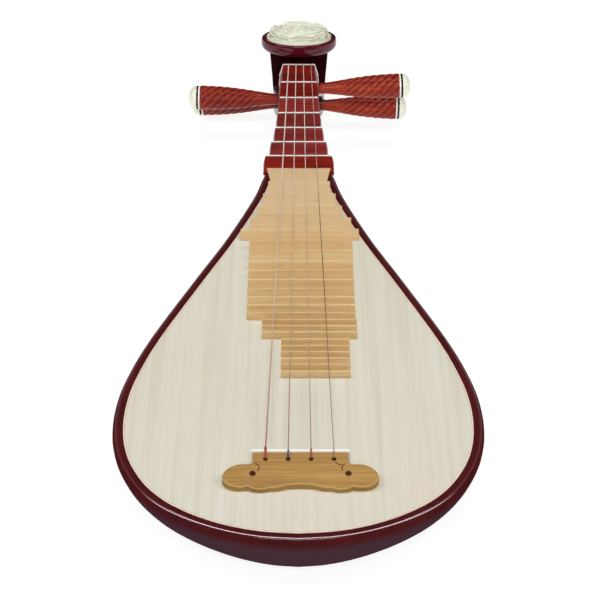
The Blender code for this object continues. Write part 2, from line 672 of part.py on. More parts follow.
def build_pegs():
    """Tuning pegs with round handles, and their bone end caps."""
    start = PEG_END + GAP
    cap_profile = [(start, PEG_CAP_RADIUS), (start + PEG_CAP_RING, PEG_CAP_RADIUS)]
    for k in range(1, 5):
        angle = math.pi / 2 * k / 5
        cap_profile.append((start + PEG_CAP_RING + PEG_CAP_DOME * math.sin(angle),
                            PEG_CAP_RADIUS * 0.97 * math.cos(angle)))
    cap_profile.append((start + PEG_CAP_RING + PEG_CAP_DOME, 0.0))
    for number, peg in enumerate(PEGS, 1):
        name, small_end = peg[0], peg[5]
        pivot = bpy.data.objects.new(name + "_axis", None)
        parts.objects.link(pivot)
        pivot.parent = instrument
        pivot.matrix_local = peg_matrix(peg)
        tip_radius = peg_radius(-small_end)
        tip = [(-small_end, tip_radius - 0.0010), (-small_end + 0.0012, tip_radius)]
        bm = bmesh.new()
        lathe(bm, tip + PEG_SHAFT[1:] + PEG_HANDLE, Matrix.Identity(4), 20)
        handle = make_object(name, bm, "red_hardwood")
        handle.parent = pivot
        bm = bmesh.new()
        lathe(bm, cap_profile, Matrix.Identity(4), 20)
        cap = make_object("peg_cap_%d" % number, bm, "white_bone")
        cap.parent = pivot


def cup_matrix():
    """Place of the cup: its own +Z axis points out of the cup, and it is oval."""
    return (Matrix.Translation((0.0, *CUP_CENTRE)) @ Matrix.Rotation(-CUP_TILT, 4, "X")
            @ Matrix.Diagonal((1.0, CUP_OVAL, 1.0, 1.0)))


def build_head():
    """Head that curls up from the pegbox and opens into an oval cup, with a carved flower."""
    samples, directions = head_stations()
    joint = joint_station()
    head = head_solid("head_finial", joint, len(samples) - 1, "lacquered_rosewood")
    place, direction = samples[joint, :2], directions[joint]
    shift = Vector((0.0, *place)) + Vector((0.0, *direction)) * GAP
    trim(head, shift, (0.0, -direction[0], -direction[1]))

    bm = bmesh.new()
    rings = []
    for radius, height in CUP_PROFILE:
        if radius == 0.0:
            rings.append([bm.verts.new((0.0, 0.0, height))])
            continue
        rings.append([bm.verts.new((radius * math.cos(a), radius * math.sin(a), height))
                      for a in np.linspace(0, 2 * math.pi, 32, endpoint=False)])
    bridge_rings(bm, rings)
    bm.transform(cup_matrix())
    cut(head, make_object("cup_tool", bm, cutter=True), "UNION")

    bm = bmesh.new()
    rings = [[bm.verts.new((0.0, 0.0, FLOWER_HEIGHT - 0.004))]]
    base = -0.0060 + GAP
    for tier in range(7):
        angle = math.pi / 2 * (tier + 1) / 7
        ring = []
        for k in range(36):
            around = 2 * math.pi * k / 36
            petal = 1.0 - 0.055 * abs(math.sin(4.5 * around + tier * 0.8))
            radius = FLOWER_RADIUS * math.sin(angle) ** 0.9 * petal
            height = base + (FLOWER_HEIGHT - base - 0.004) * math.cos(angle) ** 0.75
            ripple = 0.0016 * math.cos(9 * around + tier * 1.7) * math.sin(2 * angle)
            ring.append(bm.verts.new((radius * math.cos(around), radius * math.sin(around),
                                      height + ripple)))
        rings.append(ring)
    bridge_rings(bm, rings)
    bm.transform(cup_matrix())
    make_object("flower_carving", bm, "white_bone")


# ---- placing the instrument --------------------------------------------------------------------
def world_points():
    """All evaluated vertices of the parts, in world space."""
    bpy.context.view_layer.update()
    depsgraph = bpy.context.evaluated_depsgraph_get()
    points = []
    for obj in parts.objects:
        if obj.type != "MESH":
            continue
        evaluated = obj.evaluated_get(depsgraph)
        mesh = evaluated.to_mesh()
        count = len(mesh.vertices)
        flat = np.empty(count * 3)
        mesh.vertices.foreach_get("co", flat)
        matrix = np.array(evaluated.matrix_world)
        points.append(flat.reshape(-1, 3) @ matrix[:3, :3].T + matrix[:3, 3])
        evaluated.to_mesh_clear()
    return np.vstack(points)


def lay_on_back():
    """Tilt the instrument until its bowl and the pegbox's back touch one plane, and centre it."""
    points = world_points()
    bowl_points = points[points[:, 1] < 0.30]
    head_points = points[points[:, 1] > 0.74]
    tilt = 0.0
    for _ in range(4):
        c, s = math.cos(tilt), math.sin(tilt)
        low = bowl_points[np.argmin(bowl_points[:, 1] * s + bowl_points[:, 2] * c)]
        far = head_points[np.argmin(head_points[:, 1] * s + head_points[:, 2] * c)]
        tilt = math.atan2(low[2] - far[2], far[1] - low[1])
    instrument.rotation_euler = (tilt, 0.0, 0.0)
    points = world_points()
    low, high = points.min(axis=0), points.max(axis=0)
    instrument.location = (-(low[0] + high[0]) / 2, -(low[1] + high[1]) / 2, -low[2])
    bpy.context.view_layer.update()


clear_scene()
parts = new_collection("pipa")
cutters = new_collection("pipa_cutters")
instrument = bpy.data.objects.new("pipa_frame", None)
parts.objects.link(instrument)

build_body()
build_nut()
build_xiang()
build_pins()
build_bridge()
build_strings()
build_pegbox()
build_pegs()
build_head()
lay_on_back()
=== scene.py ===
"""Looks of the pipa: fine surfaces, materials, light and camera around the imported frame.

Pieces are modelled in the instrument's own frame, as in part.py: metres, the origin on the
soundboard straight below the saddle, +Y up the neck, +X to the right and +Z out of the soundboard.
"""
import json
import math
import random

import bmesh
import bpy
import numpy as np
from mathutils import Matrix, Vector


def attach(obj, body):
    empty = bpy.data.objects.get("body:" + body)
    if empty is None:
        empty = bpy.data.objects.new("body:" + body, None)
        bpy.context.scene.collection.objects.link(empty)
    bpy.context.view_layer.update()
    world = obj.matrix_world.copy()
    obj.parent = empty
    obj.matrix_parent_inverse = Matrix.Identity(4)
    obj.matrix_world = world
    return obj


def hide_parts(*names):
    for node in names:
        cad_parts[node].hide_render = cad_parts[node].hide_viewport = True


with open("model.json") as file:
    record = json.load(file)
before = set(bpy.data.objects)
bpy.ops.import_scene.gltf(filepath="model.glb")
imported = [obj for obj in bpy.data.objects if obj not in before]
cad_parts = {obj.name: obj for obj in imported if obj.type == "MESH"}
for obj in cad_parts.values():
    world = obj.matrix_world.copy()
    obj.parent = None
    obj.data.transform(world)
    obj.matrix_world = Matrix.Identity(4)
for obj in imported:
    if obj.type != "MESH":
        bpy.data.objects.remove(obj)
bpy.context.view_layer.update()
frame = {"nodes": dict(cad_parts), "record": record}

# ---- sizes shared with part.py, in metres --------------------------------------------------------
SCALE_LENGTH = 0.700
STRING_REST = 0.014
STRING_RADII = (0.00065, 0.0005, 0.00045, 0.00035)
STRING_PITCH_SADDLE = 0.0191
STRING_PITCH_NUT = 0.0087
STRING_CENTRE = 0.0011
GAP = 0.0003
OUTLINE = [(0.0, -0.0935), (0.0300, -0.0910), (0.0570, -0.0846), (0.0800, -0.0755), (0.1000, -0.0643),
           (0.1180, -0.0505), (0.1340, -0.0325), (0.1460, -0.0120), (0.1550, 0.0110), (0.1605, 0.0400),
           (0.1612, 0.0760), (0.1556, 0.117), (0.1385, 0.1783), (0.1014, 0.277), (0.0736, 0.3487),
           (0.0484, 0.4255), (0.0390, 0.466), (0.0312, 0.500), (0.0274, 0.530), (0.0250, 0.560),
           (0.0236, 0.592), (0.0228, 0.624), (0.0224, 0.661), (0.0226, 0.702)]
RIM_WIDTH = 0.0094
RIM_ROUND = 0.004
BOARD_THICK = 0.0046
BOARD_TOP_END = 0.466
LEDGE = 0.005
WALL = 0.008
CAVITY_END = 0.405
DEPTHS = [(-0.040, 0.0572), (0.050, 0.0616), (0.140, 0.0612), (0.240, 0.0535), (0.340, 0.0445),
          (0.430, 0.0355), (0.520, 0.0285), (0.610, 0.0255), (0.702, 0.0245)]
BOWL_FULLNESS_TAIL = (-0.020, 2.1)
BOWL_FULLNESS = (0.060, 1.85)
TAIL_FOCUS = 0.036
TAIL_SQUEEZE = 0.60
NECK_END = 0.702
BRIDGE_CENTRE = 0.0018
BRIDGE_CREST = 0.0132
BRIDGE_SLOPE = 0.24
STRING_HOLE_Y = -0.0060
SADDLE_Y = 0.0024
SADDLE_THICK = 0.0030
SOUND_HOLE = (0.005, -0.020)    # radius, y
BRIDGE_STRETCHES = [
    [(0.0400, 0.0006), (0.0402, -0.0106)],
    [(0.0440, -0.0112), (0.0530, -0.0118), (0.0610, -0.0162), (0.0650, -0.0226), (0.0636, -0.0280),
     (0.0580, -0.0327), (0.0500, -0.0343), (0.0435, -0.0331)],
    [(0.0432, -0.0331), (0.0390, -0.0353), (0.0320, -0.0362), (0.0258, -0.0344)],
    [(0.0255, -0.0344), (0.0190, -0.0342), (0.0115, -0.0318), (0.0, -0.0310)],
]
HEAD_LINE = [(0.690, -0.0118, 0.0226, 0.0118), (0.702, -0.0140, 0.0227, 0.0122),
             (0.7155, -0.0250, 0.0238, 0.0140), (0.735, -0.0495, 0.0255, 0.0152),
             (0.763, -0.0730, 0.0280, 0.0156), (0.790, -0.0865, 0.0308, 0.0156),
             (0.8125, -0.0930, 0.0322, 0.0150), (0.8310, -0.0885, 0.0330, 0.0150),
             (0.8395, -0.0715, 0.0338, 0.0158), (0.8435, -0.0530, 0.0352, 0.0185),
             (0.8475, -0.0330, 0.0368, 0.0220)]
PEGBOX_JOINT = 0.805
SLOT_HALF_WIDTH = 0.0160
SLOT_BACK = 0.0070
SLOT_FRONT = 0.0300
NUT_TOP_HALF = 0.0183
NUT_TOP = STRING_REST + 0.0018
NECK_HALF_AT_NUT = 0.0225
SLOT_MOUTH = (0.7048, -0.0180)
SLOT_START, SLOT_END = 0.7110, 0.8000
# tuning pegs: y, z, side of the handle, lean towards the front in degrees, reach of the small end
PEGS = [(0.715, -0.0255, 1, 2.0, 0.0285), (0.735, -0.0505, -1, 1.2, 0.0290),
        (0.767, -0.0745, 1, -1.8, 0.0305), (0.789, -0.0845, -1, -0.4, 0.0325)]
PEGBOX_SLOPE = math.radians(40.0)
PEG_CLEARANCE = 0.0003
PEG_SHAFT = [(-0.0290, 0.0046), (0.0330, 0.0068)]
PEG_HANDLE = [(0.0390, 0.0075), (0.0460, 0.0085), (0.0570, 0.0101), (0.0700, 0.0119),
              (0.0850, 0.0134), (0.1000, 0.0143), (0.1200, 0.0148)]
PEG_END = 0.1200
PEG_CAP_RING = 0.0046
PEG_CAP_RADIUS = 0.0144
PEG_CAP_DOME = 0.0086
CUP_CENTRE = (0.847, -0.0212)
CUP_TILT = math.radians(8.2)
CUP_OVAL = 0.83
CUP_PROFILE = [(0.0350, -0.0180), (0.0402, -0.0165), (0.0446, -0.0138), (0.0470, -0.0100),
               (0.0474, -0.0050), (0.0468, -0.0012), (0.0454, 0.0), (0.0434, 0.0), (0.0425, -0.0010),
               (0.0420, -0.0060)]
CUP_FLOOR = -0.0060

# ---- sizes of the fine detail --------------------------------------------------------------------
FLUTES = 9                      # twisted ridges on a peg's handle
FLUTE_TURN = 0.086              # length of handle in which a ridge goes once round
FLUTE_DEPTH = 0.0018
FLUTE_START, FLUTE_FULL = 0.044, 0.062
# rings on a handle's end: name, finish, slot, start and end along the peg, radius
PEG_RINGS = [("white_ring", "bone", "white_bone", 0.0, 0.0020, PEG_CAP_RADIUS * 0.975),
             ("black_ring", "ebony", "rosewood", 0.0021, 0.0041, PEG_CAP_RADIUS)]
RING_EASE = 0.0003
DOME_START = 0.0042             # beyond the rings
DOME_RIM = 0.0020               # height of the dome's upright edge
PEG_TIP_COLOUR = (0.030, 0.004, 0.006)
# painted reflection of the white floor on the lacquer low on the bowl
BOWL_PAINTED_REFLECTION = (0.062, 0.027, 0.038)  # the lacquer low on the bowl
# painted highlight on the rim's polished bead
BEAD_PAINTED_HIGHLIGHT = (0.130, 0.026, 0.030)  # and on the rim's polished bead
PEG_OF_STRING = (1, 3, 2, 0)
PEG_TURNS = 5                   # of a string round its peg
SILK = (("silk_red", 0.00024, 1.0), ("silk_blue", 0.00024, 0.62), ("silk_red", 0.00022, 0.80),
        ("silk_grey", 0.00012, 0.62))  # for each string: finish, thread's radius, share wrapped
SILK_TURNS = 28
PURFLING_WIDTH = 0.0010
PURFLING_DARK_WIDTH = 0.0003
NECK_BINDING_END = 0.622
INLAY_RADIUS = 0.0028
INLAY_PLACE = (0.0398, -0.0208)  # either side of the bridge's middle
BRIDGE_EDGE = 0.0012            # rounding of the bridge's upper edge
HOLE_RADIUS = 0.0021            # a string hole is worn wider towards the tail
HOLE_WEAR = 0.0005
# engraved curls, from above: (x from the bridge's middle, y)
CURLS = {
    "left": [[(-0.0380, -0.0108), (-0.0352, -0.0128), (-0.0343, -0.0155), (-0.0356, -0.0182)]],
    "right": [[(0.0290, -0.0098), (0.0318, -0.0118), (0.0345, -0.0122)],
              [(0.0372, -0.0112), (0.0352, -0.0132), (0.0345, -0.0155), (0.0352, -0.0180)]],
}

# ---- camera, in the instrument's frame -----------------------------------------------------------
CAMERA_PLACE = (0.0014, -1.0683, 0.9235)
CAMERA_PITCH = math.radians(54.78)
CAMERA_LENS = 100.16


def instrument_matrix():
    """The instrument's frame in the world, from the record's mount on the soundboard."""
    mount = next(m for m in frame["record"]["mounts"] if m["name"] == "soundboard_face")
    normal = Vector(mount["axis"])
    turn = Matrix.Rotation(math.atan2(-normal.y, normal.z), 4, "X")
    mount_place = Vector((0.100, 0.030, 0.0))
    return Matrix.Translation(Vector(mount["pos_m"]) - turn @ mount_place) @ turn


TO_WORLD = instrument_matrix()
TO_INSTRUMENT = TO_WORLD.inverted()


# ---- node materials ------------------------------------------------------------------------------
def add(tree, kind, inputs=None, **settings):
    """Add a shader node; inputs are values or sockets by name or number."""
    made = tree.nodes.new("ShaderNode" + kind)
    for key, value in settings.items():
        setattr(made, key, value)
    for key, value in (inputs or {}).items():
        if isinstance(value, bpy.types.NodeSocket):
            tree.links.new(value, made.inputs[key])
        else:
            made.inputs[key].default_value = value
    return made


def new_material(name, **constants):
    """A Principled material with constants on the shader's own sockets; returns tree and shader too."""
    made = bpy.data.materials.new(name)
    made.use_nodes = True
    shader = made.node_tree.nodes["Principled BSDF"]
    for key, value in constants.items():
        shader.inputs[key.replace("_", " ")].default_value = value
    return made, made.node_tree, shader


def object_place(tree, axis=None):
    """Object coordinates, or one of them."""
    place = add(tree, "TexCoord").outputs["Object"]
    return add(tree, "SeparateXYZ", {0: place}).outputs[axis] if axis else place


def stretched(tree, scale):
    """Object coordinates scaled unevenly, for grain."""
    return add(tree, "Mapping", {"Vector": object_place(tree), "Scale": scale}).outputs["Vector"]


def plus(tree, first, second):
    """Sum of two numbers."""
    return add(tree, "Math", {0: first, 1: second}, operation="ADD").outputs[0]


def noise_of(tree, vector, scale, detail=4.0, roughness=0.55, distortion=0.0):
    """Fac of a noise texture."""
    return add(tree, "TexNoise", {"Vector": vector, "Scale": scale, "Detail": detail,
                                  "Roughness": roughness, "Distortion": distortion}).outputs["Fac"]


def ramp(tree, fac, stops):
    """Colour ramp: stops of (position, colour)."""
    made = add(tree, "ValToRGB", {"Fac": fac})
    band = made.color_ramp
    while len(band.elements) < len(stops):
        band.elements.new(0.5)
    for element, (position, colour) in zip(band.elements, stops):
        element.position = position
        element.color = (*colour, 1.0) if len(colour) == 3 else colour
    return made.outputs["Color"]


def grey_ramp(tree, fac, low, high, dark=0.0, light=1.0):
    """Map fac between low and high to a number between dark and light."""
    return add(tree, "MapRange", {"Value": fac, "From Min": low, "From Max": high,
                                  "To Min": dark, "To Max": light}).outputs["Result"]


def mix(tree, fac, first, second, blend="MIX"):
    """Mix two colours."""
    made = add(tree, "Mix", data_type="RGBA", blend_type=blend)
    for socket, value in ((made.inputs[0], fac), (made.inputs[6], first), (made.inputs[7], second)):
        if isinstance(value, bpy.types.NodeSocket):
            tree.links.new(value, socket)
        else:
            socket.default_value = value if isinstance(value, float) else (*value, 1.0)
    return made.outputs[2]


def finished(made, colour, roughness=None, relief=None):
    """Link a material's colour, its roughness (fac, low, high) and bump (height, strength, distance)."""
    tree = made.node_tree
    shader = tree.nodes["Principled BSDF"]
    tree.links.new(colour, shader.inputs["Base Color"])
    if roughness:
        fac, low, high = roughness
        tree.links.new(grey_ramp(tree, fac, 0.3, 0.7, low, high), shader.inputs["Roughness"])
    if relief:
        height, strength, distance = relief
        bumped = add(tree, "Bump", {"Height": height, "Strength": strength, "Distance": distance})
        tree.links.new(bumped.outputs["Normal"], shader.inputs["Normal"])
    return made


def wood(name, colours, grain, streak_scale, roughness, bump_size=0.00012, slow=0.25, pores=0.0,
         carved=False, edges=None, **constants):
    """Wood or bamboo: streaks along the grain, slow colour changes, fine fibres and dark pores.

    colours are the dark, middle and light tones; grain is the coordinates' scale, small along the
    fibres; slow is how much the tone drifts over the piece; carved darkens the peg's small end and
    paints shade into the mesh's grooves; edges is a painted highlight, a paler tone on the faces
    that slope between upright and flat along rounded upper edges.
    """
    made, tree, _ = new_material(name, **constants)
    along = stretched(tree, grain)
    streaks = noise_of(tree, along, streak_scale, 6.0, 0.62, 0.25)
    fibres = noise_of(tree, along, streak_scale * 5.5, 3.0, 0.6)
    drift = noise_of(tree, stretched(tree, tuple(max(g, 0.3) for g in grain)), 26.0, 2.0)
    tone = plus(tree, streaks, grey_ramp(tree, fibres, 0.3, 0.7, -0.07, 0.07))
    tone = plus(tree, tone, grey_ramp(tree, drift, 0.3, 0.7, -slow, slow))
    dark, middle, light = colours
    colour = ramp(tree, tone, [(0.25, dark), (0.5, middle), (0.78, light)])
    if pores:
        holes = noise_of(tree, along, streak_scale * 9.0, 2.0, 0.7)
        colour = mix(tree, grey_ramp(tree, holes, 0.60, 0.72, 0.0, pores), colour,
                     tuple(0.35 * c for c in dark))
    if carved:
        tip = grey_ramp(tree, object_place(tree, "X"), -0.020, -0.018, 1.0, 0.0)
        colour = mix(tree, tip, colour, PEG_TIP_COLOUR)
        # painted shade: darker with the depth of the handle's grooves
        groove = add(tree, "Attribute", attribute_name="groove").outputs["Fac"]
        colour = mix(tree, grey_ramp(tree, groove, 0.15, 1.0, 0.0, 0.8), colour,
                     tuple(0.30 * c for c in dark))
    # painted highlight: a paler tone where the faces slope between upright and flat
    if edges:
        upright = add(tree, "SeparateXYZ", {0: add(tree, "NewGeometry").outputs["Normal"]}).outputs["Z"]
        rising = grey_ramp(tree, upright, 0.10, 0.45)
        off_flat_top = grey_ramp(tree, upright, 0.80, 0.93, 1.0, 0.0)
        rim = add(tree, "Math", {0: rising, 1: off_flat_top}, operation="MULTIPLY").outputs[0]
        colour = mix(tree, grey_ramp(tree, rim, 0.0, 1.0, 0.0, 0.75), colour, edges)
    return finished(made, colour, (fibres, roughness - 0.05, roughness + 0.06),
                    (fibres, 0.35, bump_size))


def bone(name, colour, shade, roughness, **constants):
    """Bone, ivory-coloured resin or plastic: faint clouds and a slightly uneven surface."""
    made, tree, _ = new_material(name, **constants)
    place = object_place(tree)
    clouds = noise_of(tree, place, 160.0, 4.0)
    grain = noise_of(tree, place, 1400.0, 2.0)
    return finished(made, ramp(tree, clouds, [(0.3, shade), (0.62, colour)]),
                    (grain, roughness - 0.04, roughness + 0.08), (grain, 0.12, 0.00008))


def lacquer(name, colour, shade, sheen, low_sheen=None):
    """Deep red lacquer over dark wood: smooth, with the grain barely showing.

    sheen is the specular level; low_sheen, if given, is the level away from the polished bead, whose
    colour is lightened there as a painted highlight; low on the bowl a painted reflection of the floor
    turns the colour a cool dark purple.
    """
    made, tree, shader = new_material(name, Roughness=0.14, Specular_IOR_Level=sheen,
                                      Specular_Tint=(0.92, 0.84, 1.0, 1.0))
    streaks = noise_of(tree, stretched(tree, (1.0, 0.05, 1.0)), 160.0, 5.0, 0.6, 0.3)
    clouds = noise_of(tree, object_place(tree), 14.0, 2.0)
    tone = plus(tree, grey_ramp(tree, streaks, 0.3, 0.7, 0.0, 0.6),
                grey_ramp(tree, clouds, 0.3, 0.7, 0.0, 0.4))
    tint = ramp(tree, tone, [(0.15, shade), (0.85, colour)])
    if low_sheen is not None:
        height = object_place(tree, "Z")
        polish = add(tree, "Attribute", attribute_name="polish").outputs["Fac"]
        back = grey_ramp(tree, height, -0.052, -0.044, 0.25, low_sheen)
        level = add(tree, "Mix", {0: polish, 2: back, 3: sheen}, data_type="FLOAT").outputs[0]
        tree.links.new(level, shader.inputs["Specular IOR Level"])
        tree.links.new(polish, shader.inputs["Coat Weight"])
        shader.inputs["Coat IOR"].default_value = 2.0
        shader.inputs["Coat Roughness"].default_value = 0.12
        # painted reflection: low on the bowl the colour turns to the floor's cool purple
        tint = mix(tree, grey_ramp(tree, height, -0.013, -0.004, 1.0, 0.0), tint, BOWL_PAINTED_REFLECTION)
        # painted highlight: the polished bead's colour is lightened
        tint = mix(tree, polish, tint, BEAD_PAINTED_HIGHLIGHT)
    return finished(made, tint, (clouds, 0.10, 0.16))


def make_materials():
    """Every material of the object, by name."""
    along_x = (0.045, 1.0, 1.0)
    satin = {"Specular_IOR_Level": 0.30}
    return {
        "rosewood": lacquer("rosewood_lacquer", (0.088, 0.0120, 0.0130), (0.052, 0.0080, 0.0090), 0.85, 0.0),
        "stock": lacquer("stock_lacquer", (0.030, 0.0022, 0.0040), (0.016, 0.0012, 0.0024), 0.03),
        "cup_wood": lacquer("cup_lacquer", (0.125, 0.0060, 0.0120), (0.070, 0.0035, 0.0070), 0.50),
        "xiang": wood("xiang_hardwood", [(0.090, 0.0070, 0.0050), (0.215, 0.0140, 0.0090),
                                         (0.330, 0.0260, 0.0130)],
                      (0.10, 1.0, 1.0), 240.0, 0.36, 0.00003, 0.12, 0.45, Specular_IOR_Level=0.7,
                      Specular_Tint=(0.90, 0.82, 1.0, 1.0)),
        "xiang_deep": wood("xiang_deep_hardwood", [(0.080, 0.0050, 0.0035), (0.200, 0.0100, 0.0060),
                                                   (0.300, 0.0200, 0.0090)],
                           (0.10, 1.0, 1.0), 240.0, 0.40, 0.00003, 0.12, 0.45, Specular_IOR_Level=0.12),
        "peg": wood("peg_hardwood", [(0.130, 0.0080, 0.0045), (0.310, 0.0240, 0.0110),
                                     (0.500, 0.0700, 0.0200)],
                    along_x, 210.0, 0.24, 0.00004, 0.12, 0.5, carved=True, Specular_IOR_Level=0.20),
        "board": soundboard_material(),
        "inside": wood("inner_spruce", [(0.40, 0.26, 0.12), (0.58, 0.42, 0.24), (0.70, 0.54, 0.34)],
                       along_x, 200.0, 0.6),
        "bamboo": bamboo_material(),
        # the bridge's edges tone is a painted highlight on its rounded upper edges
        "bridge": wood("bridge_bamboo", [(0.250, 0.112, 0.018), (0.370, 0.197, 0.037),
                                         (0.480, 0.280, 0.068)],
                       (0.030, 1.0, 1.0), 420.0, 0.42, 0.00008, 0.10, 0.25,
                       edges=(0.560, 0.370, 0.150), **satin),
        "bone": bone("white_bone", (0.940, 0.925, 0.885), (0.880, 0.855, 0.800), 0.34),
        "ivory": bone("carved_ivory", (0.920, 0.910, 0.770), (0.860, 0.850, 0.700), 0.45,
                      Subsurface_Weight=0.2, Subsurface_Scale=0.003),
        "purfling": bone("cream_purfling", (0.960, 0.790, 0.670), (0.900, 0.680, 0.550), 0.45),
        "purfling_dark": bone("brown_purfling", (0.420, 0.250, 0.160), (0.330, 0.180, 0.110), 0.5),
        "ebony": bone("black_ebony", (0.016, 0.008, 0.006), (0.006, 0.004, 0.004), 0.30,
                      Specular_IOR_Level=0.08),
        "inlay": wood("inlay_wood", [(0.016, 0.005, 0.002), (0.038, 0.011, 0.004),
                                     (0.080, 0.026, 0.009)], along_x, 700.0, 0.45,
                      Specular_IOR_Level=0.08),
        # painted shadow: the dark strip under each xiang's cap
        "cap_shadow_strip": bone("painted_cap_shadow", (0.050, 0.006, 0.006), (0.030, 0.004, 0.004), 0.5,
                     Specular_IOR_Level=0.05),
        # dark lines of the engraved curls, and the painted shade inside the string holes
        "line": bone("engraving_and_hole_shade", (0.040, 0.016, 0.006), (0.022, 0.009, 0.003), 0.6,
                     Specular_IOR_Level=0.05),
        "string": string_material("wound_string", (0.880, 0.760, 0.640), (0.800, 0.600, 0.460),
                                  (0.480, 0.200, 0.160)),
        "string_middle": string_material("middle_string", (0.880, 0.780, 0.680), (0.690, 0.490, 0.290),
                                         (0.440, 0.210, 0.150)),
        "string_thin": string_material("thin_string", (0.600, 0.440, 0.400), (0.130, 0.075, 0.040),
                                       (0.330, 0.220, 0.180)),
        "silk_red": thread_material("silk_red", (0.520, 0.022, 0.020)),
        "silk_blue": thread_material("silk_blue", (0.020, 0.028, 0.230)),
        "silk_grey": thread_material("silk_grey", (0.330, 0.270, 0.260)),
    }


def soundboard_material():
    """Paulownia: pale, with faint grain lines up the board, fine fibres and pinkish clouds."""
    made, tree, _ = new_material("paulownia_board", Specular_IOR_Level=0.25)
    along = stretched(tree, (1.0, 0.012, 1.0))
    lines = noise_of(tree, along, 150.0, 5.0, 0.6, 0.2)
    fibres = noise_of(tree, along, 1500.0, 3.0, 0.6)
    clouds = noise_of(tree, stretched(tree, (1.0, 0.35, 1.0)), 14.0, 3.0)
    pale = ramp(tree, lines, [(0.28, (0.640, 0.590, 0.470)), (0.50, (0.705, 0.672, 0.560)),
                              (0.72, (0.735, 0.712, 0.620))])
    pink = mix(tree, grey_ramp(tree, clouds, 0.48, 0.72, 0.0, 0.32), pale, (0.740, 0.590, 0.480))
    fine = mix(tree, grey_ramp(tree, fibres, 0.52, 0.72, 0.0, 0.18), pink, (0.520, 0.450, 0.330))
    return finished(made, fine, (fibres, 0.50, 0.62), (fibres, 0.25, 0.00010))


def bamboo_material():
    """Split bamboo across the board: fine fibres along the pin, paler and darker slats."""
    made, tree, _ = new_material("split_bamboo", Specular_IOR_Level=0.35)
    fibre_line = stretched(tree, (0.020, 1.0, 1.0))
    fibres = noise_of(tree, fibre_line, 620.0, 5.0, 0.65)
    bands = noise_of(tree, fibre_line, 130.0, 2.0, 0.5)
    fleck = noise_of(tree, stretched(tree, (0.10, 1.0, 1.0)), 900.0, 2.0)
    tone = plus(tree, grey_ramp(tree, fibres, 0.3, 0.7, 0.0, 0.55),
                grey_ramp(tree, bands, 0.3, 0.7, 0.0, 0.45))
    colour = ramp(tree, tone, [(0.10, (0.635, 0.410, 0.174)), (0.50, (0.780, 0.548, 0.272)),
                               (0.90, (0.840, 0.652, 0.388))])
    slats = noise_of(tree, stretched(tree, (0.001, 1.0, 0.2)), 62.0, 1.0)
    colour = mix(tree, grey_ramp(tree, slats, 0.38, 0.66, 0.0, 0.55), colour, (0.650, 0.392, 0.152))
    near_neck = grey_ramp(tree, object_place(tree, "Y"), 0.300, 0.430, 0.0, 0.60)
    colour = mix(tree, near_neck, colour, (0.660, 0.485, 0.300))
    colour = mix(tree, grey_ramp(tree, fleck, 0.66, 0.76, 0.0, 0.6), colour, (0.300, 0.170, 0.070))
    return finished(made, colour, (fibres, 0.38, 0.50), (fibres, 0.3, 0.00010))


def string_material(name, neck, middle, tail):
    """Nylon-wound string with the winding's fine ridges; a painted highlight towards the neck, painted shade
    over the board.
    """
    made, tree, _ = new_material(name, Specular_IOR_Level=0.25, Roughness=0.40)
    turns = add(tree, "TexWave", {"Vector": object_place(tree), "Scale": 900.0, "Distortion": 0.0},
                wave_type="BANDS", bands_direction="Y").outputs["Fac"]
    along = object_place(tree, "Y")
    # painted shade: the tail and middle tones over the board; painted highlight: the lighter neck tone
    colour = mix(tree, grey_ramp(tree, along, 0.02, 0.24, 1.0, 0.0), middle, tail)
    colour = mix(tree, grey_ramp(tree, along, 0.36, 0.46, 0.0, 1.0), colour, neck)
    colour = mix(tree, grey_ramp(tree, turns, 0.0, 1.0, 0.25, 0.0), colour, (0.080, 0.045, 0.030))
    return finished(made, colour, relief=(turns, 0.4, 0.00006))


def thread_material(name, colour):
    """Silk thread with a soft sheen and uneven dye."""
    made, tree, _ = new_material(name, Roughness=0.6, Specular_IOR_Level=0.1)
    uneven = noise_of(tree, object_place(tree), 2500.0, 2.0)
    return finished(made, ramp(tree, uneven, [(0.3, tuple(0.6 * c for c in colour)), (0.7, colour)]))


MATERIALS = make_materials()


# ---- geometry helpers ----------------------------------------------------------------------------
def curve_through(points, steps):
    """Catmull-Rom curve through points of any dimension, with steps samples for each stretch."""
    p = np.array(points, dtype=float)
    p = np.vstack([2 * p[0] - p[1], p, 2 * p[-1] - p[-2]])
    samples = []
    for i in range(1, len(p) - 2):
        for t in np.linspace(0.0, 1.0, steps, endpoint=False):
            samples.append(0.5 * (2 * p[i] + (p[i + 1] - p[i - 1]) * t
                                  + (2 * p[i - 1] - 5 * p[i] + 4 * p[i + 1] - p[i + 2]) * t ** 2
                                  + (3 * p[i] - p[i - 1] - 3 * p[i + 1] + p[i + 2]) * t ** 3))
    samples.append(p[-2])
    return np.array(samples)


def inset(points, distance):
    """Move an open outline inwards, towards the centre line, by a distance."""
    tangents = np.gradient(points, axis=0)
    tangents /= np.linalg.norm(tangents, axis=1)[:, None]
    normals = np.stack([-tangents[:, 1], tangents[:, 0]], axis=1)
    moved = points + distance * normals
    moved[0] = (0.0, points[0, 1] + distance)
    return moved


def bridge_rings(bm, rings, close=True):
    """Join rings of vertices in order, and close an end that isn't a single vertex."""
    for first, second in zip(rings, rings[1:]):
        count = max(len(first), len(second))
        for k in range(count):
            corners = [first[k % len(first)], first[(k + 1) % len(first)],
                       second[(k + 1) % len(second)], second[k % len(second)]]
            bm.faces.new(list(dict.fromkeys(corners)))
    if close:
        for ring in (rings[0], rings[-1]):
            if len(ring) > 2:
                bm.faces.new(ring)


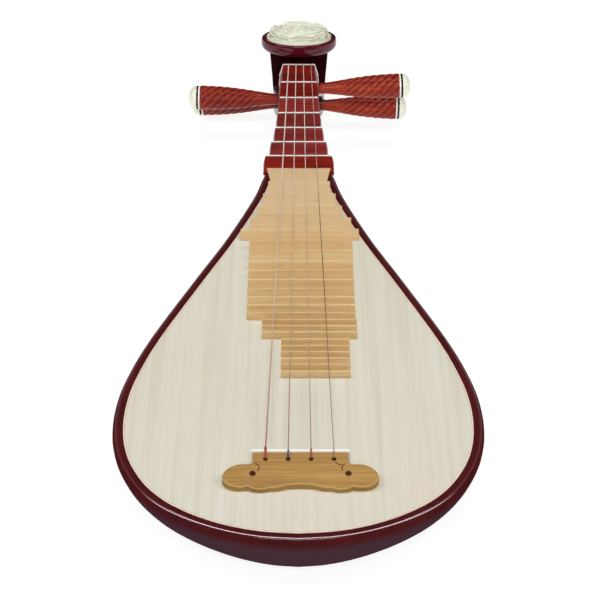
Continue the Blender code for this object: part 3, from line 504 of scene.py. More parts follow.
def lathe(bm, profile, steps, matrix=Matrix.Identity(4), radius_at=None):
    """Add a closed turned body about X: profile of (along, radius); radius_at may vary the radius."""
    rings = []
    for along, radius in profile:
        if radius == 0.0:
            rings.append([bm.verts.new(matrix @ Vector((along, 0.0, 0.0)))])
            continue
        ring = []
        for k in range(steps):
            angle = 2 * math.pi * k / steps
            r = radius_at(along, angle, radius) if radius_at else radius
            ring.append(bm.verts.new(matrix @ Vector((along, r * math.cos(angle),
                                                      r * math.sin(angle)))))
        rings.append(ring)
    bridge_rings(bm, rings)


TURN_UP = Matrix(((0, 1, 0, 0), (0, 0, 1, 0), (1, 0, 0, 0), (0, 0, 0, 1)))


def turned(profile, steps):
    """A closed turned body about Z, from (radius, height)."""
    bm = bmesh.new()
    lathe(bm, [(height, radius) for radius, height in profile], steps, TURN_UP)
    return bm


def cylinder(radius, depth, matrix, segments=28):
    """A closed cylinder."""
    bm = bmesh.new()
    bmesh.ops.create_cone(bm, cap_ends=True, segments=segments, radius1=radius, radius2=radius,
                          depth=depth, matrix=matrix)
    return bm


def tube(bm, points, radius, sides):
    """Add a closed tube along points."""
    points = [Vector(p) for p in points]
    rings = []
    side = None
    for k, point in enumerate(points):
        direction = (points[min(k + 1, len(points) - 1)] - points[max(k - 1, 0)]).normalized()
        if side is None:
            side = direction.orthogonal().normalized()
        side = (side - direction * side.dot(direction)).normalized()
        other = direction.cross(side)
        rings.append([bm.verts.new(point + radius * (math.cos(a) * side + math.sin(a) * other))
                      for a in np.linspace(0, 2 * math.pi, sides, endpoint=False)])
    bridge_rings(bm, rings)


def mesh_of(shape, name):
    """Mesh of a bmesh, its faces turned outwards; a mesh stays as it is."""
    if isinstance(shape, bpy.types.Mesh):
        return shape
    bmesh.ops.recalc_face_normals(shape, faces=shape.faces)
    mesh = bpy.data.meshes.new(name)
    shape.to_mesh(mesh)
    shape.free()
    return mesh


def placed(name, data):
    """A new object in the scene."""
    made = bpy.data.objects.new(name, data)
    bpy.context.scene.collection.objects.link(made)
    return made


def piece(name, shape, finish, body, replaces=(), matrix=TO_WORLD, angle=35.0):
    """Finish a bmesh or mesh as a piece in place: material, smooth shading and body."""
    mesh = mesh_of(shape, name)
    mesh.materials.clear()
    mesh.materials.append(MATERIALS[finish])
    mesh.shade_smooth()
    mesh.set_sharp_from_angle(angle=math.radians(angle))
    made = placed(name, mesh)
    made.matrix_world = matrix
    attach(made, body)
    if replaces:
        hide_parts(*replaces)
    return made


def combined(base, tools, operation="DIFFERENCE"):
    """Mesh of a bmesh after a Boolean with each tool."""
    target, *others = [placed("scratch", mesh_of(shape, "scratch")) for shape in (base, *tools)]
    for other in others:
        modifier = target.modifiers.new("Boolean", "BOOLEAN")
        modifier.object = other
        modifier.operation = operation
        modifier.solver = "EXACT"
    depsgraph = bpy.context.evaluated_depsgraph_get()
    mesh = bpy.data.meshes.new_from_object(target.evaluated_get(depsgraph))
    for obj in [target, *others]:
        bpy.data.objects.remove(obj, do_unlink=True)
    return mesh


def rounded(bm, width, segments=2, sharper_than=30.0):
    """Bevel the edges of a bmesh that are sharper than an angle in degrees."""
    edges = [e for e in bm.edges if len(e.link_faces) == 2
             and e.calc_face_angle() > math.radians(sharper_than)]
    bmesh.ops.bevel(bm, geom=edges, offset=width, offset_type="OFFSET", segments=segments,
                    profile=0.5, affect="EDGES", clamp_overlap=True)


def cad_copy(node):
    """The CAD node's shape in the instrument's frame, with its flat faces whole again."""
    bm = bmesh.new()
    bm.from_mesh(frame["nodes"][node].data)
    bm.transform(TO_INSTRUMENT)
    bmesh.ops.remove_doubles(bm, verts=bm.verts, dist=1e-6)
    bmesh.ops.dissolve_limit(bm, angle_limit=math.radians(1.0), verts=bm.verts, edges=bm.edges)
    return bm


def eased(node, finish, width, segments=2, name=None):
    """Make a piece of a CAD node's shape with its edges rounded."""
    bm = cad_copy(node)
    rounded(bm, width, segments)
    piece((name or node) + "_fine", bm, finish, "body", [node])


def mirrored(half):
    """Whole outline from its half on the right."""
    return half + [(-x, y) for x, y in half[::-1] if x > 1e-5]


def depth_at(y):
    """Depth of the bowl or neck at y."""
    samples = curve_through(DEPTHS, 12)
    return float(np.interp(y, samples[:, 0], samples[:, 1]))


def rim_profile(on_body):
    """Rim from the soundboard's seat to its outer edge: (distance from the outer edge, height)."""
    seat = -BOARD_THICK - GAP if on_body else 0.0
    points = [(RIM_WIDTH - GAP, seat), (RIM_WIDTH - GAP, -0.0002), (RIM_WIDTH - 0.0005, 0.0),
              (0.0062, 0.0), (0.0044, 0.0)]
    for angle in (12, 24, 36, 48):
        a = math.radians(angle)
        points.append((0.0044 - 0.0030 * math.sin(a), -0.0022 * (1.0 - math.cos(a))))
    points += [(0.0020, -0.0013), (0.0016, -0.0013)]
    for k in range(4, 9):
        angle = math.pi / 2 * k / 8
        points.append((0.0042 - 0.0042 * math.sin(angle), -RIM_ROUND * (1.0 - math.cos(angle))))
    return points


# the bead is polished, and its colour is lightened there as a painted highlight
BEAD = range(5, 8)              # places of the polished bead in the rim's profile


EDGE = curve_through(OUTLINE, 10)


def build_shell():
    """Back shell with its rim, seat and cavity, and the neck, from half a loft mirrored."""
    outline = EDGE
    inner_edge = inset(outline, RIM_WIDTH - GAP)
    crossing = int(np.argmax(inner_edge[:, 1] > BOARD_TOP_END))
    before, after = inner_edge[crossing - 1, 1], inner_edge[crossing, 1]
    share = (BOARD_TOP_END - before) / (after - before)
    extra = outline[crossing - 1] * (1 - share) + outline[crossing] * share
    outline = np.vstack([outline[:crossing], extra, extra + (0.0, 1e-5), outline[crossing:]])
    tracks = {}

    def track(distance):
        if distance not in tracks:
            tracks[distance] = inset(outline, distance)
        return tracks[distance]

    bm = bmesh.new()
    polish = bm.verts.layers.float.new("polish")
    arcs = 26
    bead = [arcs // 2 + 1 + place for place in BEAD]
    ribs = []
    for i, (x, y) in enumerate(outline):
        on_body = i <= crossing
        keel_y = y
        if y < TAIL_FOCUS:
            keel_y = TAIL_FOCUS - (TAIL_FOCUS - y) * TAIL_SQUEEZE
        depth = depth_at(keel_y)
        fullness = np.interp(keel_y, *zip(BOWL_FULLNESS_TAIL, BOWL_FULLNESS))
        seat = -BOARD_THICK - GAP if on_body else 0.0
        ledge = track(RIM_WIDTH + LEDGE)[i]
        hollow = min(1.0, max(0.0, (CAVITY_END - ledge[1]) / 0.03)) ** 0.5
        hollow_depth = hollow * (depth - WALL + seat)
        inner_centre = Vector((0.0, keel_y, 0.0))
        inner = Vector((*ledge, 0.0))
        rib = []
        for k in range(arcs // 2, -1, -1):
            angle = math.pi / 2 * k / (arcs // 2)
            point = inner_centre.lerp(inner, max(0.0, math.cos(angle)) ** (2 / fullness))
            rib.append((point.x, point.y, seat - hollow_depth * math.sin(angle) ** (2 / fullness)))
        for distance, height in rim_profile(on_body):
            rib.append((*track(distance)[i], height))
        centre, edge = Vector((0.0, keel_y, 0.0)), Vector((x, y, 0.0))
        for k in range(1, arcs + 1):
            angle = math.pi / 2 * k / arcs
            point = centre.lerp(edge, max(0.0, math.cos(angle)) ** (2 / fullness))
            drop = (depth - RIM_ROUND) * math.sin(angle) ** (2 / fullness)
            rib.append((point.x, point.y, -RIM_ROUND - drop))
        rib[0] = (0.0, rib[0][1], rib[0][2])
        rib[-1] = (0.0, keel_y, -depth)
        ribs.append([bm.verts.new(p) for p in rib])
        # mark the bead: polished there, and lightened as a painted highlight
        for k in bead:
            ribs[-1][k][polish] = 1.0
    for first, second in zip(ribs, ribs[1:]):
        for k in range(len(first) - 1):
            bm.faces.new((first[k], first[k + 1], second[k + 1], second[k]))
    bm.faces.new(ribs[-1])
    for vert in bm.verts:
        if vert.co.x < 1e-6:
            vert.co.x = 0.0
    copy = bmesh.ops.duplicate(bm, geom=bm.verts[:] + bm.edges[:] + bm.faces[:])["geom"]
    bmesh.ops.scale(bm, vec=(-1.0, 1.0, 1.0), verts=[v for v in copy if isinstance(v, bmesh.types.BMVert)])
    bmesh.ops.remove_doubles(bm, verts=bm.verts, dist=2e-6)
    bmesh.ops.dissolve_degenerate(bm, edges=bm.edges, dist=1e-6)
    return piece("back_shell_fine", bm, "rosewood", "body", ["back_shell"], angle=40.0)


def strip(bm, outer, inner, low, high):
    """Add a closed band around the tail between two half outlines, from one side to the other."""
    rings = []
    for side in (-1, 1):
        pairs = list(zip(outer, inner))
        for (ox, oy), (ix, iy) in (pairs[::-1] if side < 0 else pairs[1:]):
            rings.append([bm.verts.new((side * ox, oy, low)), bm.verts.new((side * ox, oy, high)),
                          bm.verts.new((side * ix, iy, high)), bm.verts.new((side * ix, iy, low))])
    bridge_rings(bm, rings)


def below(points, y_end):
    """The stretch of an open outline below y_end, ending exactly there."""
    kept = [tuple(point) for point in points if point[1] < y_end - 0.001]
    return kept + [(float(np.interp(y_end, points[:, 1], points[:, 0])), y_end)]


def build_board():
    """Soundboard, the purfling round it, and the wood inside the body."""
    around = mirrored(below(inset(EDGE, RIM_WIDTH), BOARD_TOP_END))
    top = mirrored(below(inset(EDGE, RIM_WIDTH + 0.0002), BOARD_TOP_END - 0.0002))
    bm = bmesh.new()
    bridge_rings(bm, [[bm.verts.new((x, y, z)) for x, y in ring]
                      for ring, z in ((around, -BOARD_THICK), (around, -0.0002), (top, 0.0))])
    radius, y = SOUND_HOLE
    hole = cylinder(radius, 0.02, Matrix.Translation((BRIDGE_CENTRE, y, 0.0)), 32)
    piece("soundboard_fine", combined(bm, [hole]), "board", "body", ["soundboard"])
    start = RIM_WIDTH + 0.0001
    for name, start, width, finish in (
            ("purfling_cream", start, PURFLING_WIDTH, "purfling"),
            ("purfling_dark", start + PURFLING_WIDTH, PURFLING_DARK_WIDTH, "purfling_dark")):
        bm = bmesh.new()
        outer = below(inset(EDGE, start), BOARD_TOP_END - 0.001)
        inner = below(inset(EDGE, start + width), BOARD_TOP_END - 0.001)
        count = min(len(outer), len(inner))
        strip(bm, outer[:count - 1] + outer[-1:], inner[:count - 1] + inner[-1:], -0.0003, 0.00012)
        piece(name, bm, finish, "body")
    for node in ("brace_lower", "brace_upper", "sound_post"):
        materials = frame["nodes"][node].data.materials
        materials.clear()
        materials.append(MATERIALS["inside"])


def build_neck_binding():
    """Thin white line along each edge of the neck beside the nut."""
    for side, name in ((-1, "neck_binding_left"), (1, "neck_binding_right")):
        bm = bmesh.new()
        rings = []
        for y in np.linspace(NECK_BINDING_END, NECK_END - 0.0015, 14):
            x = float(np.interp(y, EDGE[:, 1], EDGE[:, 0]))
            rings.append([bm.verts.new((side * (x + dx), y, z)) for dx, z in
                          ((-0.0004, -0.0012), (0.0003, -0.0012), (0.0003, 0.0002), (-0.0004, 0.0002))])
        bridge_rings(bm, rings)
        piece(name, bm, "bone", "body")


# ---- fingerboard and bridge ----------------------------------------------------------------------
def build_fingerboard():
    """Nut, xiang and pins: the CAD shapes with their edges eased, and a strip of painted shadow under each
    xiang's cap.
    """
    for number in range(1, 7):
        node = "xiang_%d" % number
        bm = cad_copy(node)
        crest = max(v.co.z for v in bm.verts)
        front = [v.co.copy() for v in bm.verts if v.co.z > crest - 1e-4]
        bm.free()
        lip, half_width = min(p.y for p in front), max(p.x for p in front)
        eased(node, "xiang_deep" if number in (1, 6) else "xiang",
              0.0007 if number < 6 else 0.0016, 3)
        # painted shadow: a dark strip along the top of the xiang's face, just under its cap
        cap_shadow_strip = bmesh.new()
        bmesh.ops.create_cube(cap_shadow_strip, size=1.0)
        cap_shadow_strip.transform(Matrix.Translation((0.0, lip, crest - 0.0006))
                       @ Matrix.Diagonal((2 * half_width - 0.0010, 0.0006, 0.0010, 1.0)))
        piece("xiang_seam_%d" % number, cap_shadow_strip, "cap_shadow_strip", "body")
        eased("xiang_cap_%d" % number, "bone", 0.0002)
    for number in range(1, 25):
        eased("pin_%02d" % number, "bamboo", 0.0002)
    eased("nut", "xiang_deep", 0.0004)
    eased("nut_cap", "bone", 0.0002)
    for side, name in ((-1, "left"), (1, "right")):
        bm = bmesh.new()
        tube(bm, [(side * (NUT_TOP_HALF + 0.0001), SCALE_LENGTH, NUT_TOP - 0.0008),
                  (side * (NECK_HALF_AT_NUT + 0.0001), SCALE_LENGTH, 0.0008)], 0.0007, 8)
        piece("nut_edge_" + name, bm, "bone", "body")
    eased("saddle_strip", "bone", 0.0003, name="saddle")


def bridge_top(y):
    """Height of the bridge's sloping upper face at y."""
    return BRIDGE_CREST + BRIDGE_SLOPE * y


def bridge_outline(steps):
    """The bridge's whole outline from above."""
    half = []
    for stretch in BRIDGE_STRETCHES:
        half += [tuple(p) for p in curve_through(stretch, steps if len(stretch) > 2 else 1)]
    return [(BRIDGE_CENTRE + x, y) for x, y in mirrored(half)]


def build_bridge():
    """Bamboo bridge with rounded edges, string holes with painted shade in them, two inlaid discs and
    engraved curls.
    """
    outline = np.array(bridge_outline(10))
    ahead, behind = np.roll(outline, -1, axis=0), np.roll(outline, 1, axis=0)
    tangents = ahead - behind
    tangents /= np.linalg.norm(tangents, axis=1)[:, None]
    inwards = np.stack([tangents[:, 1], -tangents[:, 0]], axis=1)
    bm = bmesh.new()
    rings = [[bm.verts.new((x, y, GAP)) for x, y in outline]]
    for k in range(6):
        angle = math.pi / 2 * k / 5
        ease = BRIDGE_EDGE * (1.0 - math.cos(angle))
        drop = BRIDGE_EDGE * (1.0 - math.sin(angle))
        moved = outline + ease * inwards
        rings.append([bm.verts.new((x, y, bridge_top(y) - drop)) for x, y in moved])
    bridge_rings(bm, rings)
    y = STRING_HOLE_Y - HOLE_WEAR
    holes = [(string_x(index, STRING_PITCH_SADDLE), y) for index in range(4)]
    inlays = [(BRIDGE_CENTRE + side * INLAY_PLACE[0], INLAY_PLACE[1]) for side in (-1, 1)]
    cutters = [cylinder(HOLE_RADIUS, 0.016, Matrix.Translation((x, y, 0.012))) for x, y in holes]
    cutters += [cylinder(INLAY_RADIUS, 0.003, Matrix.Translation((x, y, bridge_top(y) + 0.0002)))
                for x, y in inlays]
    piece("bridge_fine", combined(bm, cutters), "bridge", "body", ["bridge"], angle=28.0)
    slope = Matrix.Rotation(math.atan(BRIDGE_SLOPE), 4, "X")
    # painted shade: a dark disc just below the top of each string hole
    for index, (x, y) in enumerate(holes, 1):
        disc = cylinder(HOLE_RADIUS * 0.98, 0.0008,
                        Matrix.Translation((x, y, bridge_top(y) - 0.0009)) @ slope)
        piece("bridge_hole_shade_%d" % index, disc, "line", "body")
    for (x, y), name in zip(inlays, CURLS):
        profile = [(-0.0009, 0.0), (-0.0009, INLAY_RADIUS * 0.97), (-0.0003, INLAY_RADIUS * 0.96),
                   (-0.0006, INLAY_RADIUS * 0.60), (-0.0007, 0.0)]
        to_top = (Matrix.Translation((x, y, bridge_top(y))) @ slope
                  @ Matrix.Rotation(-math.pi / 2, 4, "Y"))
        bm = bmesh.new()
        lathe(bm, profile, 32, to_top)
        piece("bridge_inlay_" + name, bm, "inlay", "body")
        for part, curl in enumerate(CURLS[name], 1):
            bm = bmesh.new()
            flat = curve_through(curl, 8)
            tube(bm, [(BRIDGE_CENTRE + px, py, bridge_top(py) - 0.00008) for px, py in flat], 0.00044, 8)
            piece("bridge_curl_%s_%d" % (name, part), bm, "line", "body")


# ---- strings -------------------------------------------------------------------------------------
def string_x(index, pitch):
    """Place of a string across the instrument, counted from the left."""
    return STRING_CENTRE + (index - 1.5) * pitch


def peg_matrix(peg):
    """Place of a peg in the instrument's frame: its own +X axis points to the handle's end."""
    y, z, side, lean, _ = peg
    lean = math.radians(lean)
    front = Vector((0.0, math.sin(PEGBOX_SLOPE), math.cos(PEGBOX_SLOPE)))
    axis = Vector((side * math.cos(lean), 0.0, 0.0)) + front * math.sin(lean)
    return Matrix.Translation((0.0, y, z)) @ axis.to_track_quat("X", "Z").to_matrix().to_4x4()


def peg_radius(along):
    """Radius of a peg's shaft at a distance from the pegbox's middle."""
    (x_small, small), (x_large, large) = PEG_SHAFT
    return small + (large - small) * (along - x_small) / (x_large - x_small)


def helix(first, last, radius, turns, start_angle, steps=20):
    """Points of a coil about the X axis."""
    count = turns * steps
    angles = [start_angle + 2 * math.pi * turns * k / count for k in range(count + 1)]
    return [(first + (last - first) * k / count, radius * math.cos(a), radius * math.sin(a))
            for k, a in enumerate(angles)]


def wrapped(line, share, radius):
    """Points of a thread wound about a share of a line that runs up the instrument."""
    coil = []
    across = Vector((1.0, 0.0, 0.0))
    for k in range(int(len(line) * share)):
        ahead, behind = Vector(line[min(k + 1, len(line) - 1)]), Vector(line[max(k - 1, 0)])
        up = (ahead - behind).normalized().cross(across).normalized()
        angle = 2 * math.pi * SILK_TURNS * k / (len(line) - 1)
        coil.append(Vector(line[k]) + radius * (math.cos(angle) * across + math.sin(angle) * up))
    return coil


def build_strings():
    """Four strings, their turns round the pegs, and the silk wraps at the bridge."""
    for index, radius in enumerate(STRING_RADII):
        x_low, x_high = string_x(index, STRING_PITCH_SADDLE), string_x(index, STRING_PITCH_NUT)
        over = STRING_REST + radius + GAP
        finish = ("string", "string_middle", "string_middle", "string_thin")[index]
        number = PEG_OF_STRING[index]
        peg = PEGS[number]
        side = peg[2]
        place = peg_matrix(peg)
        shaft = peg_radius(side * x_high) + radius + 3 * GAP
        start = Vector((SCALE_LENGTH + 0.0020, over - 0.0002))
        axis = place.to_3x3().col[0]
        centre = Vector((peg[0], peg[1])) + axis.yz * (x_high / axis.x)
        along = (centre - start).normalized()
        touch = centre + Vector((-along.y, along.x)) * shaft
        saddle_edge = SADDLE_Y - SADDLE_THICK / 2
        over_saddle = [(x_low, STRING_HOLE_Y + 0.0010, 0.0112), (x_low, STRING_HOLE_Y + 0.0024, 0.0130),
                       (x_low, saddle_edge, over), (x_low, SADDLE_Y, over)]
        near_bridge = curve_through([(x_low, STRING_HOLE_Y + 0.0010, 0.0040), *over_saddle], 6)
        route = [tuple(p) for p in near_bridge]
        for t in np.linspace(0.04, 1.0, 24):
            route.append((x_low + (x_high - x_low) * t, 0.001 + (SCALE_LENGTH - 0.001) * t, over))
        route += [(x_high, SCALE_LENGTH + 0.0012, over - 0.00005), (x_high, start.x, start.y)]
        route += [(x_high, *start.lerp(touch, t)) for t in (0.05, 0.5, 1.0)]
        bm = bmesh.new()
        tube(bm, route, radius, 12)
        piece("string_%d_fine" % (index + 1), bm, finish, "body", ["string_%d" % (index + 1)],
              angle=60.0)

        local = place.inverted() @ Vector((x_high, *touch))
        inward = -(2.15 * radius * PEG_TURNS)
        bm = bmesh.new()
        tube(bm, helix(local.x, local.x + inward, math.hypot(local.y, local.z), PEG_TURNS,
                       math.atan2(local.z, local.y)), radius, 8)
        piece("peg_%d_winding" % (number + 1), bm, "string", "peg_%d" % (number + 1),
              matrix=TO_WORLD @ place, angle=60.0)

        centre_line = curve_through([(x_low, STRING_HOLE_Y + 0.0009, 0.0100), *over_saddle,
                                     (x_low, 0.0046, over)], 24)
        finish, thread, share = SILK[index]
        bm = bmesh.new()
        tube(bm, wrapped(centre_line, share, radius + thread * 0.8), thread, 6)
        piece("silk_wrap_%d" % (index + 1), bm, finish, "body", angle=60.0)


# ---- pegbox, head and pegs -----------------------------------------------------------------------
HEAD_STEPS = 12
CAD_STEPS = 4


def head_stations():
    """Samples along the head's centre line and its direction at each."""
    samples = curve_through(HEAD_LINE, HEAD_STEPS)
    directions = np.gradient(samples[:, :2], axis=0)
    directions /= np.linalg.norm(directions, axis=1)[:, None]
    return samples, directions


def joint_station():
    """Index of the sample where the head is glued to the pegbox, the same place as in the CAD."""
    ys = curve_through(HEAD_LINE, CAD_STEPS)[:30, 0]
    return int(np.argmin(np.abs(ys - PEGBOX_JOINT))) * HEAD_STEPS // CAD_STEPS


def section(half_width, thick, front_round, back_round, arc=8):
    """Rounded rectangle (x across, n to the front), as a list of points."""
    points = []
    for sx, sn, radius, start in ((1, 1, front_round, 0), (-1, 1, front_round, 90),
                                  (-1, -1, back_round, 180), (1, -1, back_round, 270)):
        cx, cn = sx * (half_width - radius), sn * (thick - radius)
        for k in range(arc + 1):
            angle = math.radians(start + 90 * k / arc)
            points.append((cx + radius * math.cos(angle), cn + radius * math.sin(angle)))
    return points


def sweep(bm, stations, sections):
    """Loft sections along stations of (place, direction) and close both ends."""
    rings = []
    for (place, direction), points in zip(stations, sections):
        front = Vector((0.0, -direction[1], direction[0]))
        origin = Vector((0.0, place[0], place[1]))
        rings.append([bm.verts.new(origin + Vector((x, 0.0, 0.0)) + front * n) for x, n in points])
    bridge_rings(bm, rings)


def head_solid(first, last):
    """The stretch of the head between two samples, as a bmesh."""
    samples, directions = head_stations()
    bm = bmesh.new()
    stations, sections = [], []
    for k in range(first, last + 1):
        y, z, half_width, half_thick = samples[k]
        stations.append(((y, z), directions[k]))
        back_round = float(np.interp(y, [0.70, 0.74], [0.0108, 0.0065]))
        sections.append(section(half_width, half_thick, 0.0025, back_round))
    sweep(bm, stations, sections)
    return bm


def half_space(place, normal):
    """A large block whose face through place looks along -normal: it removes what lies beyond."""
    bm = bmesh.new()
    bmesh.ops.create_cube(bm, size=0.2)
    turn = Vector(normal).to_track_quat("Z", "Y").to_matrix().to_4x4()
    bm.transform(Matrix.Translation(place) @ turn @ Matrix.Translation((0.0, 0.0, 0.1)))
    return bm


def build_pegbox():
    """Pegbox with its open slot and four tapered holes."""
    joint = joint_station()
    samples, directions = head_stations()
    tools = [half_space((0.0, NECK_END + GAP, 0.0), (0.0, -1.0, 0.0))]
    (small_x, small_radius), (large_x, large_radius) = PEG_SHAFT
    for peg in PEGS:
        bm = bmesh.new()
        ends = [(small_x - 0.01, small_radius + PEG_CLEARANCE), (small_x, small_radius + PEG_CLEARANCE),
                (large_x, large_radius + PEG_CLEARANCE), (large_x + 0.01, large_radius + PEG_CLEARANCE)]
        lathe(bm, ends, 40, peg_matrix(peg))
        tools.append(bm)
    walls = [(SLOT_HALF_WIDTH, SLOT_FRONT), (-SLOT_HALF_WIDTH, SLOT_FRONT),
             (-SLOT_HALF_WIDTH, -SLOT_BACK), (SLOT_HALF_WIDTH, -SLOT_BACK)]
    stations = [(SLOT_MOUTH, (1.0, 0.0))]
    for k in range(0, joint, 2):
        if SLOT_START <= samples[k, 0] <= SLOT_END:
            stations.append((samples[k, :2], directions[k]))
    bm = bmesh.new()
    sweep(bm, stations, [walls] * len(stations))
    tools.append(bm)
    piece("pegbox_fine", combined(head_solid(0, joint), tools), "stock", "body", ["pegbox"],
          angle=30.0)


def cup_matrix():
    """Place of the cup: its own +Z axis points out of the cup, and it is oval."""
    return (Matrix.Translation((0.0, *CUP_CENTRE)) @ Matrix.Rotation(-CUP_TILT, 4, "X")
            @ Matrix.Diagonal((1.0, CUP_OVAL, 1.0, 1.0)))


def build_head():
    """Head that curls up from the pegbox, its oval cup, and the carved peony in it."""
    samples, directions = head_stations()
    joint = joint_station()
    place, direction = samples[joint, :2], directions[joint]
    shift = Vector((0.0, *place)) + Vector((0.0, *direction)) * GAP
    cut_end = half_space(shift, (0.0, -direction[0], -direction[1]))
    stock = combined(head_solid(joint, len(samples) - 1), [cut_end])
    piece("head_stock", stock, "stock", "body", ["head_finial"], angle=30.0)

    wall = [tuple(p) for p in curve_through(CUP_PROFILE, 5)]
    profile = [(0.0, CUP_PROFILE[0][1])] + wall + [(0.0, CUP_FLOOR)]
    piece("head_cup", turned(profile, 128), "cup_wood", "body",
          matrix=TO_WORLD @ cup_matrix(), angle=50.0)
    build_flower()


def petal(bm, azimuth, low, high, half_width, curl, rng):
    """Add one thick carved petal between two places (radius, height), with a wavy curling edge."""
    across, up = 12, 10
    thick = 0.0013
    phase, waves = rng.uniform(0.0, 6.28), rng.uniform(1.3, 2.1)
    out = Vector((math.cos(azimuth), math.sin(azimuth), 0.0))
    side = Vector((-math.sin(azimuth), math.cos(azimuth), 0.0))
    front, back = [], []
    for j in range(up + 1):
        v = j / up
        spread = half_width * (0.78 + 0.22 * math.sin(math.pi * v)) * (1.0 - 0.22 * v ** 6)
        row_front, row_back = [], []
        for i in range(across + 1):
            u = 2.0 * i / across - 1.0
            wave = math.sin(waves * math.pi * u + phase) * v ** 2
            bow = spread * spread * u * u / (2.0 * max(low[0], 0.006))
            radial = low[0] + (high[0] - low[0]) * v + 0.0016 * math.sin(math.pi * v)
            radial += curl * v ** 5 - 0.8 * bow + 0.0007 * wave
            lobe = 0.0022 * (1.0 - abs(math.cos(1.5 * math.pi * u + 0.3 * phase))) * v ** 3
            height = low[1] + (high[1] - low[1]) * math.sin(0.5 * math.pi * v) ** 0.9
            height += 0.0006 * wave - lobe - 0.0030 * u ** 4 * v
            point = out * radial + side * (spread * u) + Vector((0.0, 0.0, height))
            inward = (out * -1.0 + Vector((0.0, 0.0, -0.5))) * thick * (1.0 - 0.5 * max(v, abs(u)) ** 6)
            row_front.append(bm.verts.new(point))
            row_back.append(bm.verts.new(point + inward))
        front.append(row_front)
        back.append(row_back)
    for j in range(up):
        for i in range(across):
            bm.faces.new((front[j][i], front[j][i + 1], front[j + 1][i + 1], front[j + 1][i]))
            bm.faces.new((back[j][i], back[j + 1][i], back[j + 1][i + 1], back[j][i + 1]))
        for i in (0, across):
            bm.faces.new((front[j][i], front[j + 1][i], back[j + 1][i], back[j][i]))
    for i in range(across):
        for j in (0, up):
            bm.faces.new((front[j][i], front[j][i + 1], back[j][i + 1], back[j][i]))


# rings of petals: count, foot (radius, height), tip (radius, height), half width, outward curl
PETAL_RINGS = [
    (10, (0.0352, -0.0042), (0.0370, 0.0040), 0.0125, 0.0008),
    (10, (0.0336, -0.0015), (0.0356, 0.0082), 0.0120, 0.0008),
    (9, (0.0314, 0.0025), (0.0334, 0.0118), 0.0115, 0.0008),
    (8, (0.0270, 0.0055), (0.0284, 0.0130), 0.0110, 0.0010),
    (7, (0.0200, 0.0070), (0.0210, 0.0136), 0.0095, 0.0010),
    (6, (0.0130, 0.0075), (0.0135, 0.0141), 0.0075, 0.0010),
    (4, (0.0055, 0.0075), (0.0055, 0.0143), 0.0050, 0.0006),
]
FLOWER_CORE = [(0.0, CUP_FLOOR + GAP), (0.0396, CUP_FLOOR + GAP), (0.0406, -0.0030), (0.0408, 0.0006),
               (0.0402, 0.0013), (0.0390, 0.0008), (0.0378, -0.0010), (0.0360, -0.0012), (0.0348, 0.0030),
               (0.0330, 0.0070), (0.0295, 0.0096), (0.0215, 0.0108), (0.0120, 0.0113), (0.0, 0.0115)]


def build_flower():
    """Carved peony: an oval base with a raised lip, a low dome, and rings of ruffled petals on it."""
    rng = random.Random(11)
    bm = turned(FLOWER_CORE, 96)
    for ring, (count, low, high, half_width, curl) in enumerate(PETAL_RINGS):
        for k in range(count):
            azimuth = 2 * math.pi * (k + 0.5 * (ring % 2)) / count + rng.uniform(-0.12, 0.12)
            lift = rng.uniform(-0.0012, 0.0008)
            petal(bm, azimuth, (low[0] + rng.uniform(-0.0008, 0.0006), low[1]),
                  (high[0] + rng.uniform(-0.0012, 0.0008), high[1] + lift),
                  half_width * rng.uniform(0.9, 1.1), curl * rng.uniform(0.6, 1.5), rng)
    piece("peony", bm, "ivory", "body", ["flower_carving"], matrix=TO_WORLD @ cup_matrix(),
          angle=60.0)


def groove_at(along, angle):
    """How far into a groove a point of a handle is: 0 on a ridge or a plain stretch, 1 in the cut."""
    fade = min(1.0, max(0.0, (along - FLUTE_START) / (FLUTE_FULL - FLUTE_START)))
    fade *= min(1.0, max(0.0, (PEG_END - 0.0010 - along) / 0.0008))
    phase = FLUTES / 2 * (angle + 2 * math.pi * along / FLUTE_TURN)
    return fade * (1.0 - abs(math.cos(phase)) ** 0.8)


def fluted(along, angle, radius):
    """Radius of a handle with twisted rounded ridges."""
    return radius - FLUTE_DEPTH * groove_at(along, angle)


def mark_grooves(mesh):
    """Store the groove depth at each vertex, for the painted shade in the grooves."""
    marks = mesh.attributes.new("groove", "FLOAT", "POINT")
    for mark, vert in zip(marks.data, mesh.vertices):
        mark.value = groove_at(vert.co.x, math.atan2(vert.co.z, vert.co.y))


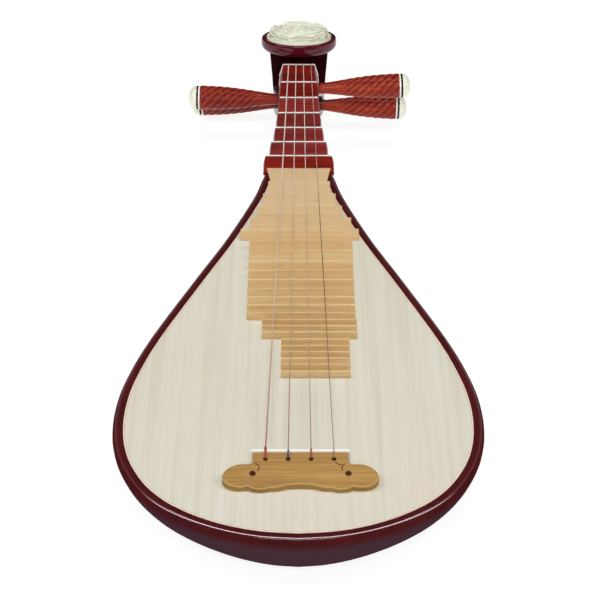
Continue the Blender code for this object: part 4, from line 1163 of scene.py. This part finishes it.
def build_pegs():
    """Tuning pegs: shaft, fluted handle, a white and a black ring, and a carved dome."""
    for number, peg in enumerate(PEGS, 1):
        place = TO_WORLD @ peg_matrix(peg)
        body = "peg_%d" % number
        small_end = peg[4]
        tip_radius = peg_radius(-small_end)
        shaft = [(-small_end, 0.0), (-small_end, tip_radius - 0.0010),
                 (-small_end + 0.0004, tip_radius - 0.0003), (-small_end + 0.0012, tip_radius)]
        handle = [tuple(p) for p in curve_through([PEG_SHAFT[1], *PEG_HANDLE], 20)[:-1]]
        end = PEG_HANDLE[-1][1]
        handle += [(PEG_END - 0.0006, end), (PEG_END, end - 0.0006), (PEG_END, 0.0)]
        bm = bmesh.new()
        lathe(bm, shaft + handle, 112, radius_at=fluted)
        made = piece("tuning_peg_%d_fine" % number, bm, "peg", body,
                     ["tuning_peg_%d" % number], matrix=place, angle=60.0)
        mark_grooves(made.data)

        for name, finish, slot, low, high, radius in PEG_RINGS:
            low, high = PEG_END + GAP + low, PEG_END + GAP + high
            inner = radius - RING_EASE
            bm = bmesh.new()
            lathe(bm, [(low, 0.0), (low, inner), (low + RING_EASE, radius), (high - RING_EASE, radius),
                       (high, inner), (high, 0.0)], 64)
            piece("peg_%d_%s" % (number, name), bm, finish, body, matrix=place)
        start = PEG_END + GAP + DOME_START
        length = PEG_CAP_RING + PEG_CAP_DOME - DOME_START
        profile = [(start, 0.0), (start, PEG_CAP_RADIUS * 0.955),
                   (start + DOME_RIM, PEG_CAP_RADIUS * 0.965)]
        for k in range(1, 15):
            angle = math.pi / 2 * k / 15
            profile.append((start + DOME_RIM + (length - DOME_RIM) * math.sin(angle),
                            PEG_CAP_RADIUS * 0.955 * math.cos(angle) ** 0.9))
        profile.append((start + length, 0.0))
        bm = bmesh.new()
        lathe(bm, profile, 96, radius_at=carved_dome)
        piece("peg_%d_dome" % number, bm, "ivory", body, ["peg_cap_%d" % number],
              matrix=place, angle=50.0)


def carved_dome(along, angle, radius):
    """Radius of a cap's dome with eight shallow carved lobes."""
    rise = min(1.0, max(0.0, (along - PEG_END - 0.0065) / 0.003))
    return radius * (1.0 - 0.05 * rise * (1.0 - abs(math.cos(4.0 * angle))))


# ---- stage ---------------------------------------------------------------------------------------
# area lights: name, place, target, size, watts
LIGHTS = [("key_left", (-1.5, -0.5, 1.5), (0.0, 0.0, 0.0), (0.8, 1.2), 12.0),
          ("key_right", (1.5, -0.5, 1.5), (0.0, 0.0, 0.0), (0.8, 1.2), 12.0),
          ("front", (0.0, -2.4, 1.95), (0.0, 0.1, 0.0), (1.6, 0.6), 40.0),
          ("top", (0.0, 0.2, 2.1), (0.0, 0.1, 0.0), (1.7, 0.5), 16.0)]
FLOOR_COLOUR = (0.22, 0.22, 0.22, 1.0)
FLOOR_GLOW = 0.88               # keeps the floor white to the camera, under soft light
SKY = 0.004                     # strength of the even light from all round
SKY_MIRRORED = 0.018            # and what glossy surfaces see more
WHITE = (1.0, 1.0, 1.0, 1.0)


def area_light(name, place, target, size, power):
    """Soft rectangular light that faces its target; size is (width, height)."""
    data = bpy.data.lights.new(name, "AREA")
    data.shape = "RECTANGLE"
    data.size, data.size_y = size
    data.energy = power
    made = placed(name, data)
    made.location = place
    made.rotation_mode = "QUATERNION"
    made.rotation_quaternion = (Vector(target) - Vector(place)).to_track_quat("-Z", "Y")


def build_stage():
    """Plain white floor, soft studio light and the camera."""
    bm = bmesh.new()
    bmesh.ops.create_grid(bm, x_segments=1, y_segments=1, size=8.0)
    mesh = bpy.data.meshes.new("floor")
    bm.to_mesh(mesh)
    bm.free()
    floor = placed("floor", mesh)
    made, _, shader = new_material("floor_white", Roughness=0.9, Specular_IOR_Level=0.1,
                                   Emission_Strength=FLOOR_GLOW)
    shader.inputs["Base Color"].default_value = FLOOR_COLOUR
    shader.inputs["Emission Color"].default_value = WHITE
    mesh.materials.append(made)

    world = bpy.data.worlds.new("studio")
    bpy.context.scene.world = world
    world.use_nodes = True
    tree = world.node_tree
    background = tree.nodes["Background"]
    background.inputs["Color"].default_value = WHITE
    ray = add(tree, "LightPath").outputs
    seen = grey_ramp(tree, ray["Is Camera Ray"], 0.0, 1.0, SKY, 1.0)
    mirrored = grey_ramp(tree, ray["Is Glossy Ray"], 0.0, 1.0, 0.0, SKY_MIRRORED)
    tree.links.new(plus(tree, seen, mirrored), background.inputs["Strength"])

    for light in LIGHTS:
        area_light(*light)

    data = bpy.data.cameras.new("camera")
    data.lens = CAMERA_LENS
    data.sensor_width = 36.0
    camera = placed("camera", data)
    camera.matrix_world = (TO_WORLD @ Matrix.Translation(CAMERA_PLACE)
                           @ Matrix.Rotation(CAMERA_PITCH, 4, "X"))
    bpy.context.scene.camera = camera
    bpy.context.scene.view_settings.view_transform = "Standard"


build_shell()
build_board()
build_neck_binding()
build_fingerboard()
build_bridge()
build_strings()
build_pegbox()
build_head()
build_pegs()
build_stage()
